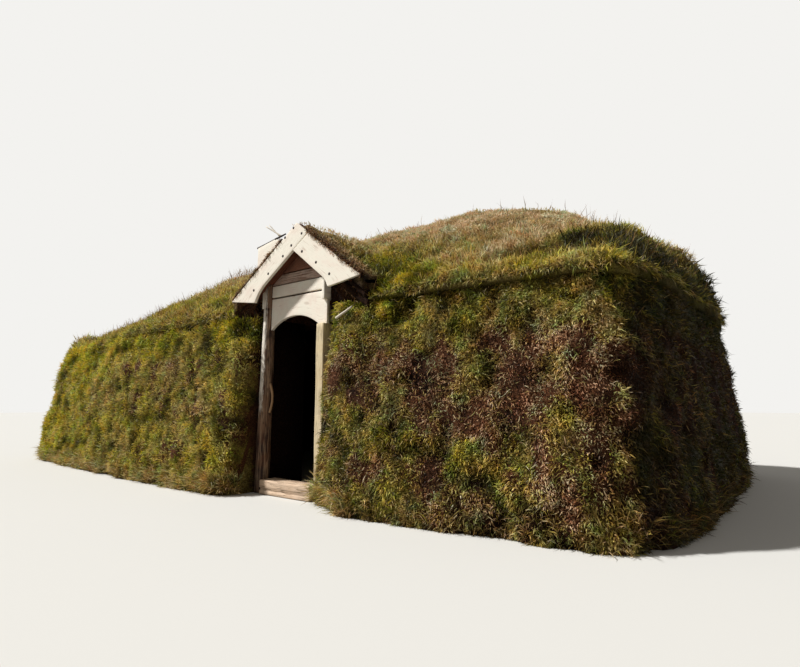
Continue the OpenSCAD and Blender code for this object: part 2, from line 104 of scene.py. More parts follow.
def colour(name, default, about):
    return FloatVectorProperty(name=name, description=about, default=linear(default), size=3,
                               min=0, max=1, subtype="COLOR")


def count(name, default, about):
    return IntProperty(name=name, description=about, default=default, min=0)


class TurfHouseForm(PropertyGroup):
    """Sizes of the house's form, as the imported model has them."""

    room_x: metres("Half room length", 3.7, "Half the length between the end walls")
    room_y: metres("Half room width", 1.95, "Half the width between the long walls")
    end_block: metres("End block", 0.6, "Straight run of the long walls past the room")
    wall: metres("Wall height", 2.0, "Height of the turf walls")
    side_foot: metres("Side wall foot", 1.2, "Thickness of a long wall at its foot")
    end_foot: metres("End wall foot", 1.15, "Reach of a rounded end at its foot")
    side_bow: metres("Side bow", 0.22, "How much thinner a long wall is towards the ends")
    side_lean: metres("Side lean", 0.34, "How far a long wall leans in")
    end_lean: metres("End lean", 0.20, "How far an end wall leans in")
    door_depth: metres("Doorside depth", 0.43, "How far the turf rounds back beside the doorway")
    door_run: metres("Doorside run", 0.56, "Length of wall over which it rounds back")
    crest_rise: metres("Crest rise", 1.53, "Height of the crest over the walls")
    crest_dip: metres("Crest dip", 0.58, "Drop of the crest towards the ends")
    crest_flat: metres("Level crest", 1.4, "Length of the crest that stays level")
    crest_fall: metres("Crest fall", 0.26, "Fall of the crest's line to its left end")
    crest_lift: metres("Crest lift", 0.15, "Rise of the crest's line to its right end")
    roof_swell: metres("Roof swell", 0.028, "Height of the broad swells of the roof")
    eave: metres("Eave", 0.05, "How far the roof turf stands out over the walls")
    lip: metres("Eave lip", 0.07, "Depth of the roof turf's edge")
    crest_depth: metres("Crest depth", 0.64, "Thickness of the roof's layers at the crest")
    lean_power: FloatProperty(name="Lean bend", description="Bend of the lean", default=1.5)
    crest_bend: FloatProperty(name="Crest bend", description="Bend of the crest's drop", default=4.0)
    corner_power: FloatProperty(name="Corner", description="Squareness of the corners", default=4.2)
    slope_power: FloatProperty(name="Slope", description="Fullness of the slopes", default=1.6)
    end_power: FloatProperty(name="End", description="Fullness of the rounded ends", default=2.7)
    ridge_x: metres("Porch ridge", 1.821, "Place of the porch's ridge along the house")
    peak: metres("Peak", 2.952, "Height of the bargeboards' peak")
    rise_left: FloatProperty(name="Left slope", description="Rise for each metre", default=0.6594)
    rise_right: FloatProperty(name="Right slope", description="Rise for each metre", default=0.7631)


class TurfHouseLooks(PropertyGroup):
    """Sizes and amounts of the turf, the grass and the timber's wear."""

    nap: metres("Nap", 0.05, "Depth of the grass over the sods")
    lump: metres("Lump", 0.034, "How far the sods stand in and out")
    left_turn: metres("Left doorside run", 0.24, "Length of wall that rounds back left of the doorway")
    left_depth: metres("Left doorside depth", 0.26, "How far the turf rounds back left of the doorway")
    wall_blade: metres("Wall blade", 0.075, "Length of grass on the walls")
    roof_blade: metres("Roof blade", 0.11, "Length of grass on the roof")
    eave_blade: metres("Eave blade", 0.115, "Length of the grass that hangs over the eave")
    foot_blade: metres("Foot blade", 0.17, "Length of the dry grass at the foot of the walls")
    blade_width: metres("Blade width", 0.008, "Width of a blade near the doorway")
    wall_front_right_blades: count("Right wall blades", 86000, "Blades right of the doorway")
    wall_front_left_blades: count("Left wall blades", 60000, "Blades left of the doorway")
    wall_round_blades: count("Round wall blades", 42000, "Blades on the back and the ends")
    strand_blades: count("Strands", 6000, "Pale curled strands on the walls")
    roof_front_blades: count("Roof front blades", 80000, "Blades on the front slope")
    roof_round_blades: count("Roof back blades", 42000, "Blades on the back slope and the ends")
    eave_blades: count("Eave blades", 9000, "Blades hanging over the eave")
    foot_blades: count("Foot blades", 7000, "Blades at the foot of the walls")
    porch_blades: count("Porch blades", 9000, "Blades and root ends on the porch")
    stem_blades: count("Seed stems", 4200, "Thin dead stems standing over the roof")


class TurfHouseColours(PropertyGroup):
    """Colours of the turf, the grass and the timber."""

    soil_dark: colour("Dark soil", "#150d08", "Shaded soil in the hollows")
    soil: colour("Soil", "#6a4129", "Reddish brown peat of the sods")
    soil_pale: colour("Pale soil", "#ae7a52", "Dried edges of the sods")
    # The dark grass, straw and root tones are where a blade's tone runs low, partly at random and partly as
    # painted shade low in the nap.
    green_dark: colour("Dark green", "#222a08", "Grass low in the nap")
    green: colour("Green", "#96901c", "Grass")
    green_pale: colour("Yellow green", "#ead634", "Sunlit young grass")
    straw_dark: colour("Brown straw", "#4f3a1c", "Old grass low in the nap")
    straw: colour("Straw", "#b8965a", "Dry grass")
    straw_pale: colour("Pale straw", "#f0d8b2", "Bleached tips")
    root_dark: colour("Dark root", "#2a160d", "Root fibres deep in the peat")
    root: colour("Root", "#946040", "Reddish root fibres")
    root_pale: colour("Pale root", "#dcb48c", "Dried root ends")
    board: colour("Pale board", "#f8f1df", "Fresh bare softwood boards")
    board_dark: colour("Dark board", "#b39c86", "Knots and grain of the boards")
    board_warm: colour("Warm board", "#ecd3c2", "Pinkish stain low on the boards")
    jamb: colour("Jamb", "#e2d0aa", "Yellowed softwood of the jamb")
    jamb_dark: colour("Dark jamb", "#7f6848", "Knots and checks of the jamb")
    jamb_warm: colour("Warm jamb", "#cbb184", "Honey tone of the jamb")
    plank: colour("Plank", "#d3bba9", "Pinkish grey gable planks")
    plank_dark: colour("Dark plank", "#6e4c3c", "Knots and checks of the planks")
    plank_warm: colour("Warm plank", "#b98f7a", "Reddish weather stain of the planks")
    # The stained plank's tones are dark partly as painted shade under the peak.
    stained: colour("Stained plank", "#9a6a52", "Resin-stained plank under the peak")
    stained_dark: colour("Dark stained plank", "#45281c", "Knots and checks of that plank")
    stained_warm: colour("Warm stained plank", "#7d4a36", "Reddish stain of that plank")
    log: colour("Log", "#a3886e", "Weathered brown wood of the log")
    log_dark: colour("Dark log", "#2a1810", "Bark and checks of the log")
    log_warm: colour("Warm log", "#744a32", "Reddish brown of the log")
    # Painted sunlight: flakes paler than the wood shows in its shade, on the log's side towards the sun.
    flake: colour("Flakes", "#f4eadb", "Sun-bleached flakes on the log's outer side")
    sill: colour("Threshold", "#e9cdb0", "Pale tan of the threshold")
    sill_dark: colour("Dark threshold", "#7b6046", "Checks of the threshold")
    sill_warm: colour("Warm threshold", "#c9a888", "Worn tan of the threshold")
    soffit: colour("Soffit", "#6e3d28", "Reddish brown boards under the porch roof")
    soffit_dark: colour("Dark soffit", "#33190f", "Knots and grain of those boards")
    bough: colour("Bough", "#b08c68", "Hand-worn bough of the grip")
    bough_dark: colour("Dark bough", "#5c3f2a", "Grain of the grip")
    stick: colour("Stick", "#d8cdbb", "Peeled sticks")
    stick_dark: colour("Dark stick", "#8d7c68", "Grain of the peeled sticks")
    bark: colour("Bark", "#3d332c", "Sticks with their bark on")
    bark_dark: colour("Dark bark", "#17120e", "Furrows of the bark")
    timber: colour("Frame timber", "#6b5138", "Smoke-darkened timber of the room")
    timber_dark: colour("Dark timber", "#33241a", "Grain and soot of that timber")
    iron: colour("Iron", "#1c1816", "Hand-made nails")
    rust: colour("Rust", "#5a3a28", "Rust on the nails")
    floor: colour("Floor", "#d9d7d1", "Plain floor under the house")
    backdrop: colour("Backdrop", "#f3f2ef", "Background behind the house")


def form():
    return bpy.context.scene.turf_house_form


def looks():
    return bpy.context.scene.turf_house_looks


def tones():
    return bpy.context.scene.turf_house_colours


# Numbers on whole arrays


def joined(*parts):
    """Coordinates brought to one shape and put side by side."""
    return np.stack(np.broadcast_arrays(*parts), -1)


def added_up(steps):
    """Distance from a line's start at each of its points."""
    return np.concatenate([[0], np.cumsum(steps)])


def round_angles(amount):
    return np.linspace(0, 2 * math.pi, amount, endpoint=False)


def unit(vectors):
    return vectors / np.maximum(np.linalg.norm(vectors, axis=-1, keepdims=True), 1e-9)


def ramp_up(value, low, high):
    """0 below low, 1 above high and a smooth S between them."""
    t = np.clip((value - low) / (high - low), 0, 1)
    return t * t * (3 - 2 * t)


def bell(value, centre, width):
    """1 at the centre, falling off to both sides."""
    return np.exp(-((value - centre) / width) ** 2)


def noise(points, size, seed):
    """Value noise from -1 to 1: a hash of each corner of a lattice, blended smoothly over cells of the given
    size. The seed picks the pattern."""
    cell = points / size + 100.0
    low = np.floor(cell).astype(np.int64)
    part = cell - low
    part = part * part * (3 - 2 * part)
    total = np.zeros(points.shape[:-1])
    for corner in np.ndindex(2, 2, 2):
        at = low + np.array(corner)
        mixed = at[..., 0] * 374761393 + at[..., 1] * 668265263 + at[..., 2] * 2147483647 + seed * 974711
        mixed = (mixed ^ (mixed >> 13)) & 0xFFFFFFFF
        mixed = (mixed * 1274126177) & 0xFFFFFFFF
        mixed = (mixed ^ (mixed >> 16)) & 0xFFFFFFFF
        total += mixed / 0xFFFFFFFF * np.prod(np.where(corner, part, 1 - part), axis=-1)
    return total * 2 - 1


def rough(points, size, seed, octaves=3):
    """Noise of halving size and strength added up."""
    total = sum(noise(points, size / 2 ** k, seed + k) / 2 ** k for k in range(octaves))
    return total / (2 - 2.0 ** (1 - octaves))


# Form of the turf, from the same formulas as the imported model


def end_start():
    """Half the length of the straight walls, past which the ends round off."""
    return form().room_x + form().end_block


def side_out(x, level):
    """Half width of the walls: the foot less a parabola along the house and a power curve up the wall."""
    f = form()
    return f.room_y + f.side_foot - f.side_bow * (x / end_start()) ** 2 - f.side_lean * level ** f.lean_power


def end_reach(level):
    """How far an end stands out at a level: its foot less a power curve up the wall."""
    return form().end_foot - form().end_lean * level ** form().lean_power


def eave_out(x):
    return side_out(x, 1.0) + form().eave


def crest(x):
    """Height of the crest over the walls: a line that falls to the left and rises to the right, less a power
    curve down to each end."""
    f = form()
    at = np.minimum(np.abs(x), end_start())
    past = np.maximum(0, at - f.crest_flat / 2) / (end_start() - f.crest_flat / 2)
    line = np.where(x < 0, -f.crest_fall, f.crest_lift) * at / end_start()
    return f.crest_rise + line - f.crest_dip * past ** f.crest_bend


def roof_height(x, share):
    """Height of the roof at a share of the way from the crest to the eave: a power curve down from the crest,
    with broad swells along the house that turn over between crest and eave."""
    f = form()
    share = np.clip(share, 0, 1)
    swell = f.roof_swell * np.sin(np.radians(x * 1000 / 4.7 + 60)) * np.cos(np.radians(800 * share))
    return f.wall + f.lip + (crest(x) - f.lip) * (1 - share ** f.slope_power) + swell


def porch_height(x):
    """Height of the bargeboards' outer edge: two straight slopes from the peak."""
    f = form()
    return f.peak - np.where(x < f.ridge_x, f.rise_left * (f.ridge_x - x), f.rise_right * (x - f.ridge_x))


def soffit_height(x):
    return porch_height(x) - SOFFIT_DROP


def plan(turn, side, reach, half, power):
    """Place in plan at a turn: 0 to 1 round the right end, 1 to 2 along the back, 2 to 3 round the left
    end and 3 to 4 along the front. An end is half a squared ellipse, a long side is its own function of x."""
    turn = np.mod(turn, 4)
    part = np.minimum(np.floor(turn).astype(int), 3)
    t = turn - part
    angle = np.where(part == 0, t - 0.5, 0.5 - t) * math.pi
    end_x = end_start() + reach * np.maximum(np.cos(angle), 0) ** (2 / power)
    end_y = half * np.sign(angle) * np.abs(np.sin(angle)) ** (2 / power)
    side_x = np.where(part == 1, 1 - 2 * t, 2 * t - 1) * end_start()
    side_y = side(side_x) * np.where(part == 1, 1, -1)
    x = np.where(part == 0, end_x, np.where(part == 2, -end_x, side_x))
    y = np.where(part % 2 == 0, end_y, side_y)
    return x, y


def inner_plan(turn):
    """The room's rectangle met at the same turns: points past the room are drawn in to the end wall."""
    f = form()
    x, y = plan(turn, lambda at: np.full_like(at, f.room_y), 0.0, f.room_y, f.corner_power)
    return np.sign(x) * np.interp(np.abs(x), [0, 3.0, end_start()], [0, 3.0, f.room_x]), y


def wall_plan(turns, level):
    """Place in plan of the walls' outer face at a level."""
    return plan(turns, lambda at: side_out(at, level), end_reach(level), side_out(end_start(), level),
                form().corner_power)


def even_turns(low, high, spacing, level):
    """Turns between low and high that lie evenly spaced on the walls at a level."""
    dense = np.linspace(low, high, 6000)
    x, y = wall_plan(dense, level)
    length = added_up(np.hypot(np.diff(x), np.diff(y)))
    steps = max(2, int(round(length[-1] / spacing)))
    return np.interp(np.linspace(0, length[-1], steps + 1), length, dense)


def turn_of_front(x):
    return 3 + (x + end_start()) / (2 * end_start())


def outward(grid):
    """Normals of a grid of points, pointing away from the middle of the house."""
    normal = unit(np.cross(np.gradient(grid, axis=0), np.gradient(grid, axis=1)))
    away = grid - 0.8 * UP
    away[..., 0] *= 0.4
    flip = np.sign(np.sum(normal * away, axis=-1, keepdims=True))
    return normal * np.where(flip == 0, 1, flip)


# Where the turf is green, dry or bare


def in_front(points):
    return points[..., 1] < FRONT


def on_roof(z):
    """0 on the walls and 1 on the roof."""
    return ramp_up(z, 1.95, 2.1)


def on_crown(z):
    """0 on the slopes and 1 on the dry crown."""
    return ramp_up(z, 2.55, 3.05)


def on_level(z):
    """0 on the slopes and 1 where the roof is so level that its grass lies open to the sky."""
    return ramp_up(z, 2.75, 3.15)


def porch_valley(x, y, width):
    """1 in the valley right of the porch, falling off round it."""
    return np.exp(-((x - 2.75) / width) ** 2 - ((y + 2.3) / 0.5) ** 2)


def growth(points):
    """Share of grass cover and share of dry growth at each point, by height, side and patches of noise."""
    x, y, z = np.moveaxis(points, -1, 0)
    patch = rough(points * [1, 1, 0.8], 0.36, 31, 3)
    tuft = noise(points * [1, 1, 0.6], 0.13, 57)
    roof = ramp_up(z, 1.9, 2.1)
    # The dry crown reaches lower to the right and stops at the shoulder.
    bias = 0.16 * ramp_up(x, 2.2, 3.4) + 0.26 * ramp_up(x, 3.2, 4.0) - 0.60 * ramp_up(x, 4.1, 4.7)
    high = ramp_up(z + bias + 0.16 * noise(points, 0.45, 58), 2.45, 3.05)
    left = ramp_up(-x, -0.9, 0.6)
    far_left = ramp_up(-x, 1.6, 4.2)
    far_right = ramp_up(x, 2.8, 4.2)
    foot = 1 - ramp_up(z + 0.12 * noise(points, 0.3, 59), 0.02, 0.26)
    top = ramp_up(z, 1.5, 1.8)
    middle = ramp_up(z, 0.6, 1.0) * (1 - ramp_up(z, 1.4, 1.75))
    # The walls are greener to the left and near their top, and barer half way up and to the right.
    wall_cover = (0.58 + 0.20 * left + 0.34 * far_left - 0.16 * far_right + 0.24 * top
                  - 0.20 * middle * (1 - far_left))
    wall_dry = 0.28 - 0.02 * left - 0.18 * far_left + 0.12 * far_right + 0.10 * middle - 0.10 * top
    by_door = bell(x, 0.5, 0.4) * (y < -1.5) * (1 - ramp_up(z, 1.2, 1.7))
    cover = (wall_cover + 0.4 * by_door) * (1 - roof) + (1.0 - 0.1 * high) * roof
    roof_dry = 0.32 + 0.62 * high * (0.55 + 0.45 * ramp_up(x, -1.5, 2))
    dry = wall_dry * (1 - roof) + roof_dry * roof
    cover = np.maximum(cover, foot * 0.6) + (0.44 * patch + 0.40 * tuft) * (1 - 0.55 * roof)
    dry_patch, dry_tuft = rough(points, 0.36, 91, 3), noise(points * [1, 1, 0.6], 0.11, 92)
    dry = np.maximum(dry, 0.62 * foot) + 0.30 * dry_patch + 0.26 * dry_tuft
    dry = dry - 0.5 * roof * porch_valley(x, y, 0.38)
    return np.clip(cover, 0, 1), np.clip(dry, 0, 1)


def sods(points):
    """How far the sods stand out: broad swells, lumps of a fist's size that hang a little, and pits between
    them, each a noise of its own size."""
    pits = ramp_up(noise(points * [1, 1, 0.85], 0.17, 12), 0.15, 0.65)
    lumps = 0.8 * noise(points * [1, 1, 0.7], 0.13, 14) + 0.35 * noise(points, 0.07, 13)
    return 0.6 * rough(points, 0.6, 11, 2) + lumps - 1.5 * pits


def painted_gap_shade(points):
    """Painted shade where it falls between the walls' hanging tufts, as darker streaks from a noise taller
    than it is wide.
    """
    return ramp_up(noise(points * [1, 1, 0.45], 0.085, 77), 0.12, 0.55) * (1 - on_roof(points[..., 2]))


def painted_sun_and_shade(points):
    """Painted sunlight and shade: how much brighter the growth is painted where the sun falls, above 0, or
    darker where shade falls, below 0. The right end is painted dark as the shade behind its corner, and the
    valley beside the porch is made darker too."""
    x, y, z = np.moveaxis(points, -1, 0)
    left, _ = doorway()
    roof = on_roof(z)
    # How far a point lies behind the front's leaning face, and so round the corner from the sun.
    behind = y + 2.93 - 0.34 * (z / 2) ** 1.5
    shoulder = ramp_up(y, -2.4, -1.95) * (1 - 0.85 * ramp_up(z, 2.4, 2.75))
    painted_end_shade = ramp_up(x, 4.1, 4.7) * np.where(z < 1.95, ramp_up(behind, 0.16, 0.42), shoulder)
    # Painted sunlight on the walls: brighter to the left, near the top, left of the doorway and just before
    # the right corner.
    wall = 0.24 * ramp_up(-x, 1.2, 4.0) + 0.12 * ramp_up(z, 1.2, 1.6) * (1 - ramp_up(x, 2.8, 3.8)) + 0.12
    left_wall = 0.34 + 0.85 * ramp_up(x, -0.4, 0.7) * (1 - 0.6 * ramp_up(z, 1.0, 1.6))
    right_wall = 0.06 * ramp_up(x, 3.4, 4.2) + 0.32 * ramp_up(x, 4.3, 4.8) * (1 - 0.6 * ramp_up(z, 1.5, 1.9))
    wall = wall + (x < left) * left_wall + (x > left) * right_wall
    painted_sunlight = wall * (1 - roof) + roof * (0.32 + 0.06 * ramp_up(x, 0.0, 2.0) + 0.30 * on_crown(z))
    return painted_sunlight * (1 - painted_end_shade) - 0.56 * painted_end_shade - 0.40 * (roof * porch_valley(x, y, 0.35))


def skin_field(points, cover_scale=1.0):
    """What the turf's material reads at each point: grass cover, dryness and the light left in its depth."""
    cover, dry = growth(points)
    # Painted shade in the sods' pits, lighter where the roof lies open to the sky, then painted sunlight and
    # shade, and painted shade between the hanging tufts.
    open_sky = 0.5 * on_level(points[..., 2])
    light = open_sky + (1 - open_sky) * ramp_up(sods(points), -1.5, 0.5)
    light = light * np.clip(1 + painted_sun_and_shade(points), 0.4, 1.5) * (1 - 0.6 * painted_gap_shade(points))
    return joined(cover * cover_scale, dry, light)


# Meshes


def outside_in(points, faces):
    """True if a closed skin's faces point inwards, from the sign of its volume."""
    volume = 0.0
    for group in faces:
        a, b, c = points[group[:, 0]], points[group[:, 1]], points[group[:, 2]]
        volume += np.sum(a * np.cross(b, c))
        if group.shape[1] == 4:
            volume += np.sum(a * np.cross(c, points[group[:, 3]]))
    return volume < 0


def put(name, points, faces, material, replaces=(), uv=None, field=None, weld=False, closed=True):
    """Puts points and groups of equal-sided faces into a mesh and rides it on the house."""
    if closed and outside_in(points, faces):
        faces = [group[:, ::-1] for group in faces]
        uv = None if uv is None else [group[:, ::-1] for group in uv]
    mesh = bpy.data.meshes.new(name)
    sides = np.concatenate([np.full(len(group), group.shape[1]) for group in faces])
    corners = np.concatenate([group.ravel() for group in faces])
    mesh.vertices.add(len(points))
    mesh.vertices.foreach_set("co", np.ascontiguousarray(points, dtype=np.float32).ravel())
    mesh.loops.add(len(corners))
    mesh.loops.foreach_set("vertex_index", corners.astype(np.int32))
    mesh.polygons.add(len(sides))
    mesh.polygons.foreach_set("loop_start", added_up(sides[:-1]).astype(np.int32))
    mesh.update(calc_edges=True)
    if uv is not None:
        flat = np.concatenate([group.reshape(-1, 2) for group in uv])
        mesh.uv_layers.new(name="UVMap").data.foreach_set("uv", flat.astype(np.float32).ravel())
    if field is not None:
        values = np.ones((len(points), 4), dtype=np.float32)
        values[:, :field.shape[1]] = field
        mesh.attributes.new("growth", "FLOAT_COLOR", "POINT").data.foreach_set("color", values.ravel())
    if weld:
        work = bmesh.new()
        work.from_mesh(mesh)
        bmesh.ops.remove_doubles(work, verts=work.verts, dist=1e-5)
        bmesh.ops.dissolve_degenerate(work, dist=1e-6, edges=work.edges)
        work.to_mesh(mesh)
        work.free()
    mesh.validate()
    mesh.shade_smooth()
    mesh.materials.append(material)
    piece = bpy.data.objects.new(name, mesh)
    bpy.context.collection.objects.link(piece)
    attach(piece, "root")
    if replaces:
        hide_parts(*replaces)
    return piece


def loft(rings, start=0.0):
    """Skins closed rings carried along a path and caps both ends. U runs along the path and V round the
    ring, both in metres, so that a grain can follow the piece."""
    n, m = rings.shape[:2]
    middle = rings.mean(axis=1)
    along = start + added_up(np.linalg.norm(np.diff(middle, axis=0), axis=1))
    wide = rings[n // 2]
    around = added_up(np.linalg.norm(np.roll(wide, -1, 0) - wide, axis=1))
    row, col = np.meshgrid(np.arange(n - 1), np.arange(m), indexing="ij")
    nxt = (col + 1) % m
    quads = joined(row * m + col, row * m + nxt, (row + 1) * m + nxt, (row + 1) * m + col).reshape(-1, 4)
    u = joined(along[row], along[row], along[row + 1], along[row + 1])
    v = joined(around[col], around[col + 1], around[col + 1], around[col])
    quad_uv = joined(u, v).reshape(-1, 4, 2)
    points = np.concatenate([rings.reshape(-1, 3), middle[:1], middle[-1:]])
    j = np.arange(m)
    k = (j + 1) % m
    last = (n - 1) * m
    tris = np.concatenate([joined(n * m, k, j), joined(n * m + 1, last + j, last + k)])
    flat = points[tris]
    tri_uv = joined(flat[..., 0] + flat[..., 1] + start, flat[..., 2])
    return points, [quads, tris], [quad_uv, tri_uv]


def merged(parts):
    """Joins lofts into one set of points, faces and UVs."""
    points, faces, uvs, base = [], [[], []], [[], []], 0
    for p, f, uv in parts:
        if outside_in(p, f):
            f, uv = [g[:, ::-1] for g in f], [g[:, ::-1] for g in uv]
        points.append(p)
        for i in (0, 1):
            faces[i].append(f[i] + base)
            uvs[i].append(uv[i])
        base += len(p)
    return np.concatenate(points), [np.concatenate(g) for g in faces], [np.concatenate(g) for g in uvs]


# Materials


def add(tree, kind, inputs=None, stops=None, **settings):
    """Adds a shader node with its settings, its inputs as values or links, and a ramp's stops."""
    n = tree.nodes.new("ShaderNode" + kind)
    for key, value in settings.items():
        setattr(n, key, value)
    for key, value in (inputs or {}).items():
        if isinstance(value, bpy.types.NodeSocket):
            tree.links.new(value, n.inputs[key])
        else:
            n.inputs[key].default_value = value
    if stops:
        ramp = n.color_ramp
        ramp.elements[0].position, ramp.elements[1].position = stops[0][0], stops[-1][0]
        for place, _ in stops[1:-1]:
            ramp.elements.new(place)
        for element, (_, tone) in zip(ramp.elements, stops):
            element.color = (*tone, 1)
    return n


def finish(name, build):
    """Makes a material whose nodes a function builds; it returns the surface's shader socket."""
    material = bpy.data.materials.new(name)
    material.use_nodes = True
    tree = material.node_tree
    tree.nodes.clear()
    add(tree, "OutputMaterial", {"Surface": build(tree)})
    return material


def calculate(tree, operation, *values):
    return add(tree, "Math", dict(enumerate(values)), operation=operation).outputs[0]


def ranged(tree, value, low, high, to_low=0.0, to_high=1.0):
    """The socket of a value carried from one range to another and held inside it."""
    return add(tree, "MapRange", {"Value": value, "From Min": low, "From Max": high,
                                  "To Min": to_low, "To Max": to_high}).outputs[0]


def speckle(tree, where, scale, detail, roughness=0.5, distortion=0.0):
    return add(tree, "TexNoise", {"Vector": where, "Scale": scale, "Detail": detail, "Roughness": roughness,
                                  "Distortion": distortion}).outputs["Fac"]


def shades(tree, value, *stops):
    return add(tree, "ValToRGB", {"Fac": value}, stops).outputs["Color"]


def growth_parts(tree):
    """The three parts of what the piece's mesh says at each point."""
    field = add(tree, "Attribute", attribute_name="growth").outputs["Color"]
    return [add(tree, "SeparateColor", {"Color": field}).outputs[key] for key in ("Red", "Green", "Blue")]


def surface(tree, tone, roughness, gloss, height=None, strength=1.0, depth=0.0):
    """The shader socket of an opaque surface, with relief of a depth in metres where a height is given."""
    inputs = {"Base Color": tone, "Roughness": roughness, "Specular IOR Level": gloss}
    if height is not None:
        relief = add(tree, "Bump", {"Height": height, "Strength": strength, "Distance": depth})
        inputs["Normal"] = relief.outputs["Normal"]
    return add(tree, "BsdfPrincipled", inputs).outputs[0]


def grey(value):
    return (value,) * 3


def mix(tree, factor, a, b, blend="MIX"):
    """The colour socket of a mix of two colours or sockets."""
    n = add(tree, "Mix", {0: factor}, data_type="RGBA", blend_type=blend)
    for socket, tone in ((n.inputs[6], a), (n.inputs[7], b)):
        if isinstance(tone, bpy.types.NodeSocket):
            tree.links.new(tone, socket)
        else:
            socket.default_value = (*tone, 1)
    return n.outputs[2]


def turf():
    """Cut sods: peat bound by roots, rough and matt, with short grass matted over it in patches."""
    c = tones()

    def build(tree):
        where = add(tree, "TexCoord").outputs["Object"]
        grown, dried, lit = growth_parts(tree)
        # Root fibres and blades about 12 mm across, as coarse as they show.
        fibre = speckle(tree, where, 62.0, 4.0, 0.65, 1.4)
        # Tufts about 60 mm across.
        tuft = speckle(tree, where, 17.0, 4.0, 0.65)
        soil = shades(tree, fibre, (0.34, c.soil_dark), (0.52, c.soil), (0.72, c.soil_pale))
        green = shades(tree, fibre, (0.34, c.green_dark), (0.56, c.green), (0.80, c.green_pale))
        dry = shades(tree, fibre, (0.28, c.straw_dark), (0.48, c.straw), (0.70, c.straw_pale))
        cover = ranged(tree, calculate(tree, "ADD", grown, tuft), 0.92, 1.18)
        tone = mix(tree, cover, soil, mix(tree, dried, green, dry))
        # Painted shade in the hollows: the third part is the painted light that a sod's depth leaves, with
        # painted sunlight and shade.
        deep = ranged(tree, lit, 0.0, 1.5, 0.10, 0.88)
        level = add(tree, "CombineColor", {"Red": deep, "Green": deep, "Blue": deep})
        tone = mix(tree, 1.0, tone, level.outputs[0], "MULTIPLY")
        return surface(tree, tone, 0.95, 0.1, calculate(tree, "ADD", fibre, tuft), 1.0, 0.03)

    return finish("Cut sods with matted grass", build)


def meadow_grass():
    """Meadow grass, living and dead: thin blades that let light through and go pale at their tips."""
    c = tones()

    def build(tree):
        reach, kind, chance = growth_parts(tree)
        # Each blade's own number picks its tone between shaded and sunlit.
        green = shades(tree, chance, (0.0, c.green_dark), (0.5, c.green), (1.0, c.green_pale))
        straw = shades(tree, chance, (0.0, c.straw_dark), (0.5, c.straw), (1.0, c.straw_pale))
        root = shades(tree, chance, (0.0, c.root_dark), (0.5, c.root), (1.0, c.root_pale))
        # The blade's kind runs from living grass at 0 over straw at 0.5 to root fibre at 1.
        tone = mix(tree, ranged(tree, kind, 0.0, 0.5), green, straw)
        tone = mix(tree, ranged(tree, kind, 0.5, 1.0), tone, root)
        # Tufts about 100 mm across drift from cool moist green to yellowed and reddish growth.
        where = add(tree, "TexCoord").outputs["Object"]
        drift = speckle(tree, where, 7.0, 3.0, 0.65)
        tint = shades(tree, drift, (0.36, (0.66, 0.94, 0.90)), (0.50, grey(1.0)), (0.64, (1.0, 0.80, 0.72)))
        tone = mix(tree, 1.0, tone, tint, "MULTIPLY")
        # Blades are shaded towards their roots.
        tone = mix(tree, 1.0, tone, shades(tree, reach, (0.0, grey(0.2)), (0.6, grey(1.0))), "MULTIPLY")
        through = add(tree, "BsdfTranslucent", {"Color": tone}).outputs[0]
        return add(tree, "MixShader", {0: 0.3, 1: surface(tree, tone, 0.55, 0.3), 2: through}).outputs[0]

    return finish("Meadow grass", build)


def wood(name, pale, dark, warm=None, flakes=None, knots=0.5, streak=(5.0, 75.0), grime=0.3, checks=0.0,
         grain_at=(0.28, 0.46), roughness=0.75, coordinates="UV", turn=(0, 0, 0)):
    """Wood sawn or hewn along its grain, in tones that go by their names: streaks along the piece, knots,
    blotches of weather and fine checks."""
    pale, dark, warm, flakes = (key and getattr(tones(), key) for key in (pale, dark, warm, flakes))

    def build(tree):
        where = add(tree, "TexCoord").outputs[coordinates]

        def along_grain(along, across):
            return add(tree, "Mapping", {"Vector": where, "Scale": (along, across, across),
                                         "Rotation": turn}).outputs[0]

        # Grain lines about 13 mm apart and 200 mm long, as coarse as they show.
        grain = speckle(tree, along_grain(*streak), 1.0, 4.0, 0.6, 0.4)
        blotch = speckle(tree, where, 3.5, 4.0, 0.7)
        knot = add(tree, "TexVoronoi", {"Vector": along_grain(3.0, 8.0), "Scale": 1.0, "Randomness": 1.0})
        spot = ranged(tree, knot.outputs["Distance"], 0.07, 0.17, knots, 0.0)
        # Drying checks: thin dark lines where a long noise crosses its middle.
        split = calculate(tree, "SUBTRACT", speckle(tree, along_grain(1.6, 34.0), 1.0, 2.0), 0.5)
        check = ranged(tree, calculate(tree, "ABSOLUTE", split), 0.006, 0.022, checks, 0.0)
        tone = shades(tree, grain, (grain_at[0], dark), (grain_at[1], pale), (1.0, pale))
        if warm is not None:
            tone = mix(tree, ranged(tree, blotch, 0.42, 0.62), tone, mix(tree, 0.5, tone, warm))
        stain = ranged(tree, blotch, 0.5, 0.3, 0.0, grime)
        for worn in (stain, spot, check):
            tone = mix(tree, worn, tone, dark)
        if flakes is not None:
            # Bleached flakes about 25 mm across and 120 mm long, painted pale as painted sunlight, on the
            # side that the piece's field names.
            chips = speckle(tree, along_grain(8.0, 40.0), 1.0, 5.0, 0.75)
            chips = calculate(tree, "ADD", chips, growth_parts(tree)[0])
            tone = mix(tree, ranged(tree, chips, 1.02, 1.24), tone, flakes)
        return surface(tree, tone, roughness, 0.3, calculate(tree, "SUBTRACT", grain, check), 0.6, 0.004)

    return finish(name, build)


def iron():
    """Hand-forged iron nail heads: dark oxide skin, dull, a little rust."""
    c = tones()

    def build(tree):
        where = add(tree, "TexCoord").outputs["Object"]
        tone = shades(tree, speckle(tree, where, 220.0, 3.0), (0.45, c.iron), (0.8, c.rust))
        return add(tree, "BsdfPrincipled", {"Base Color": tone, "Metallic": 0.3, "Roughness": 0.7}).outputs[0]

    return finish("Hand-forged iron", build)


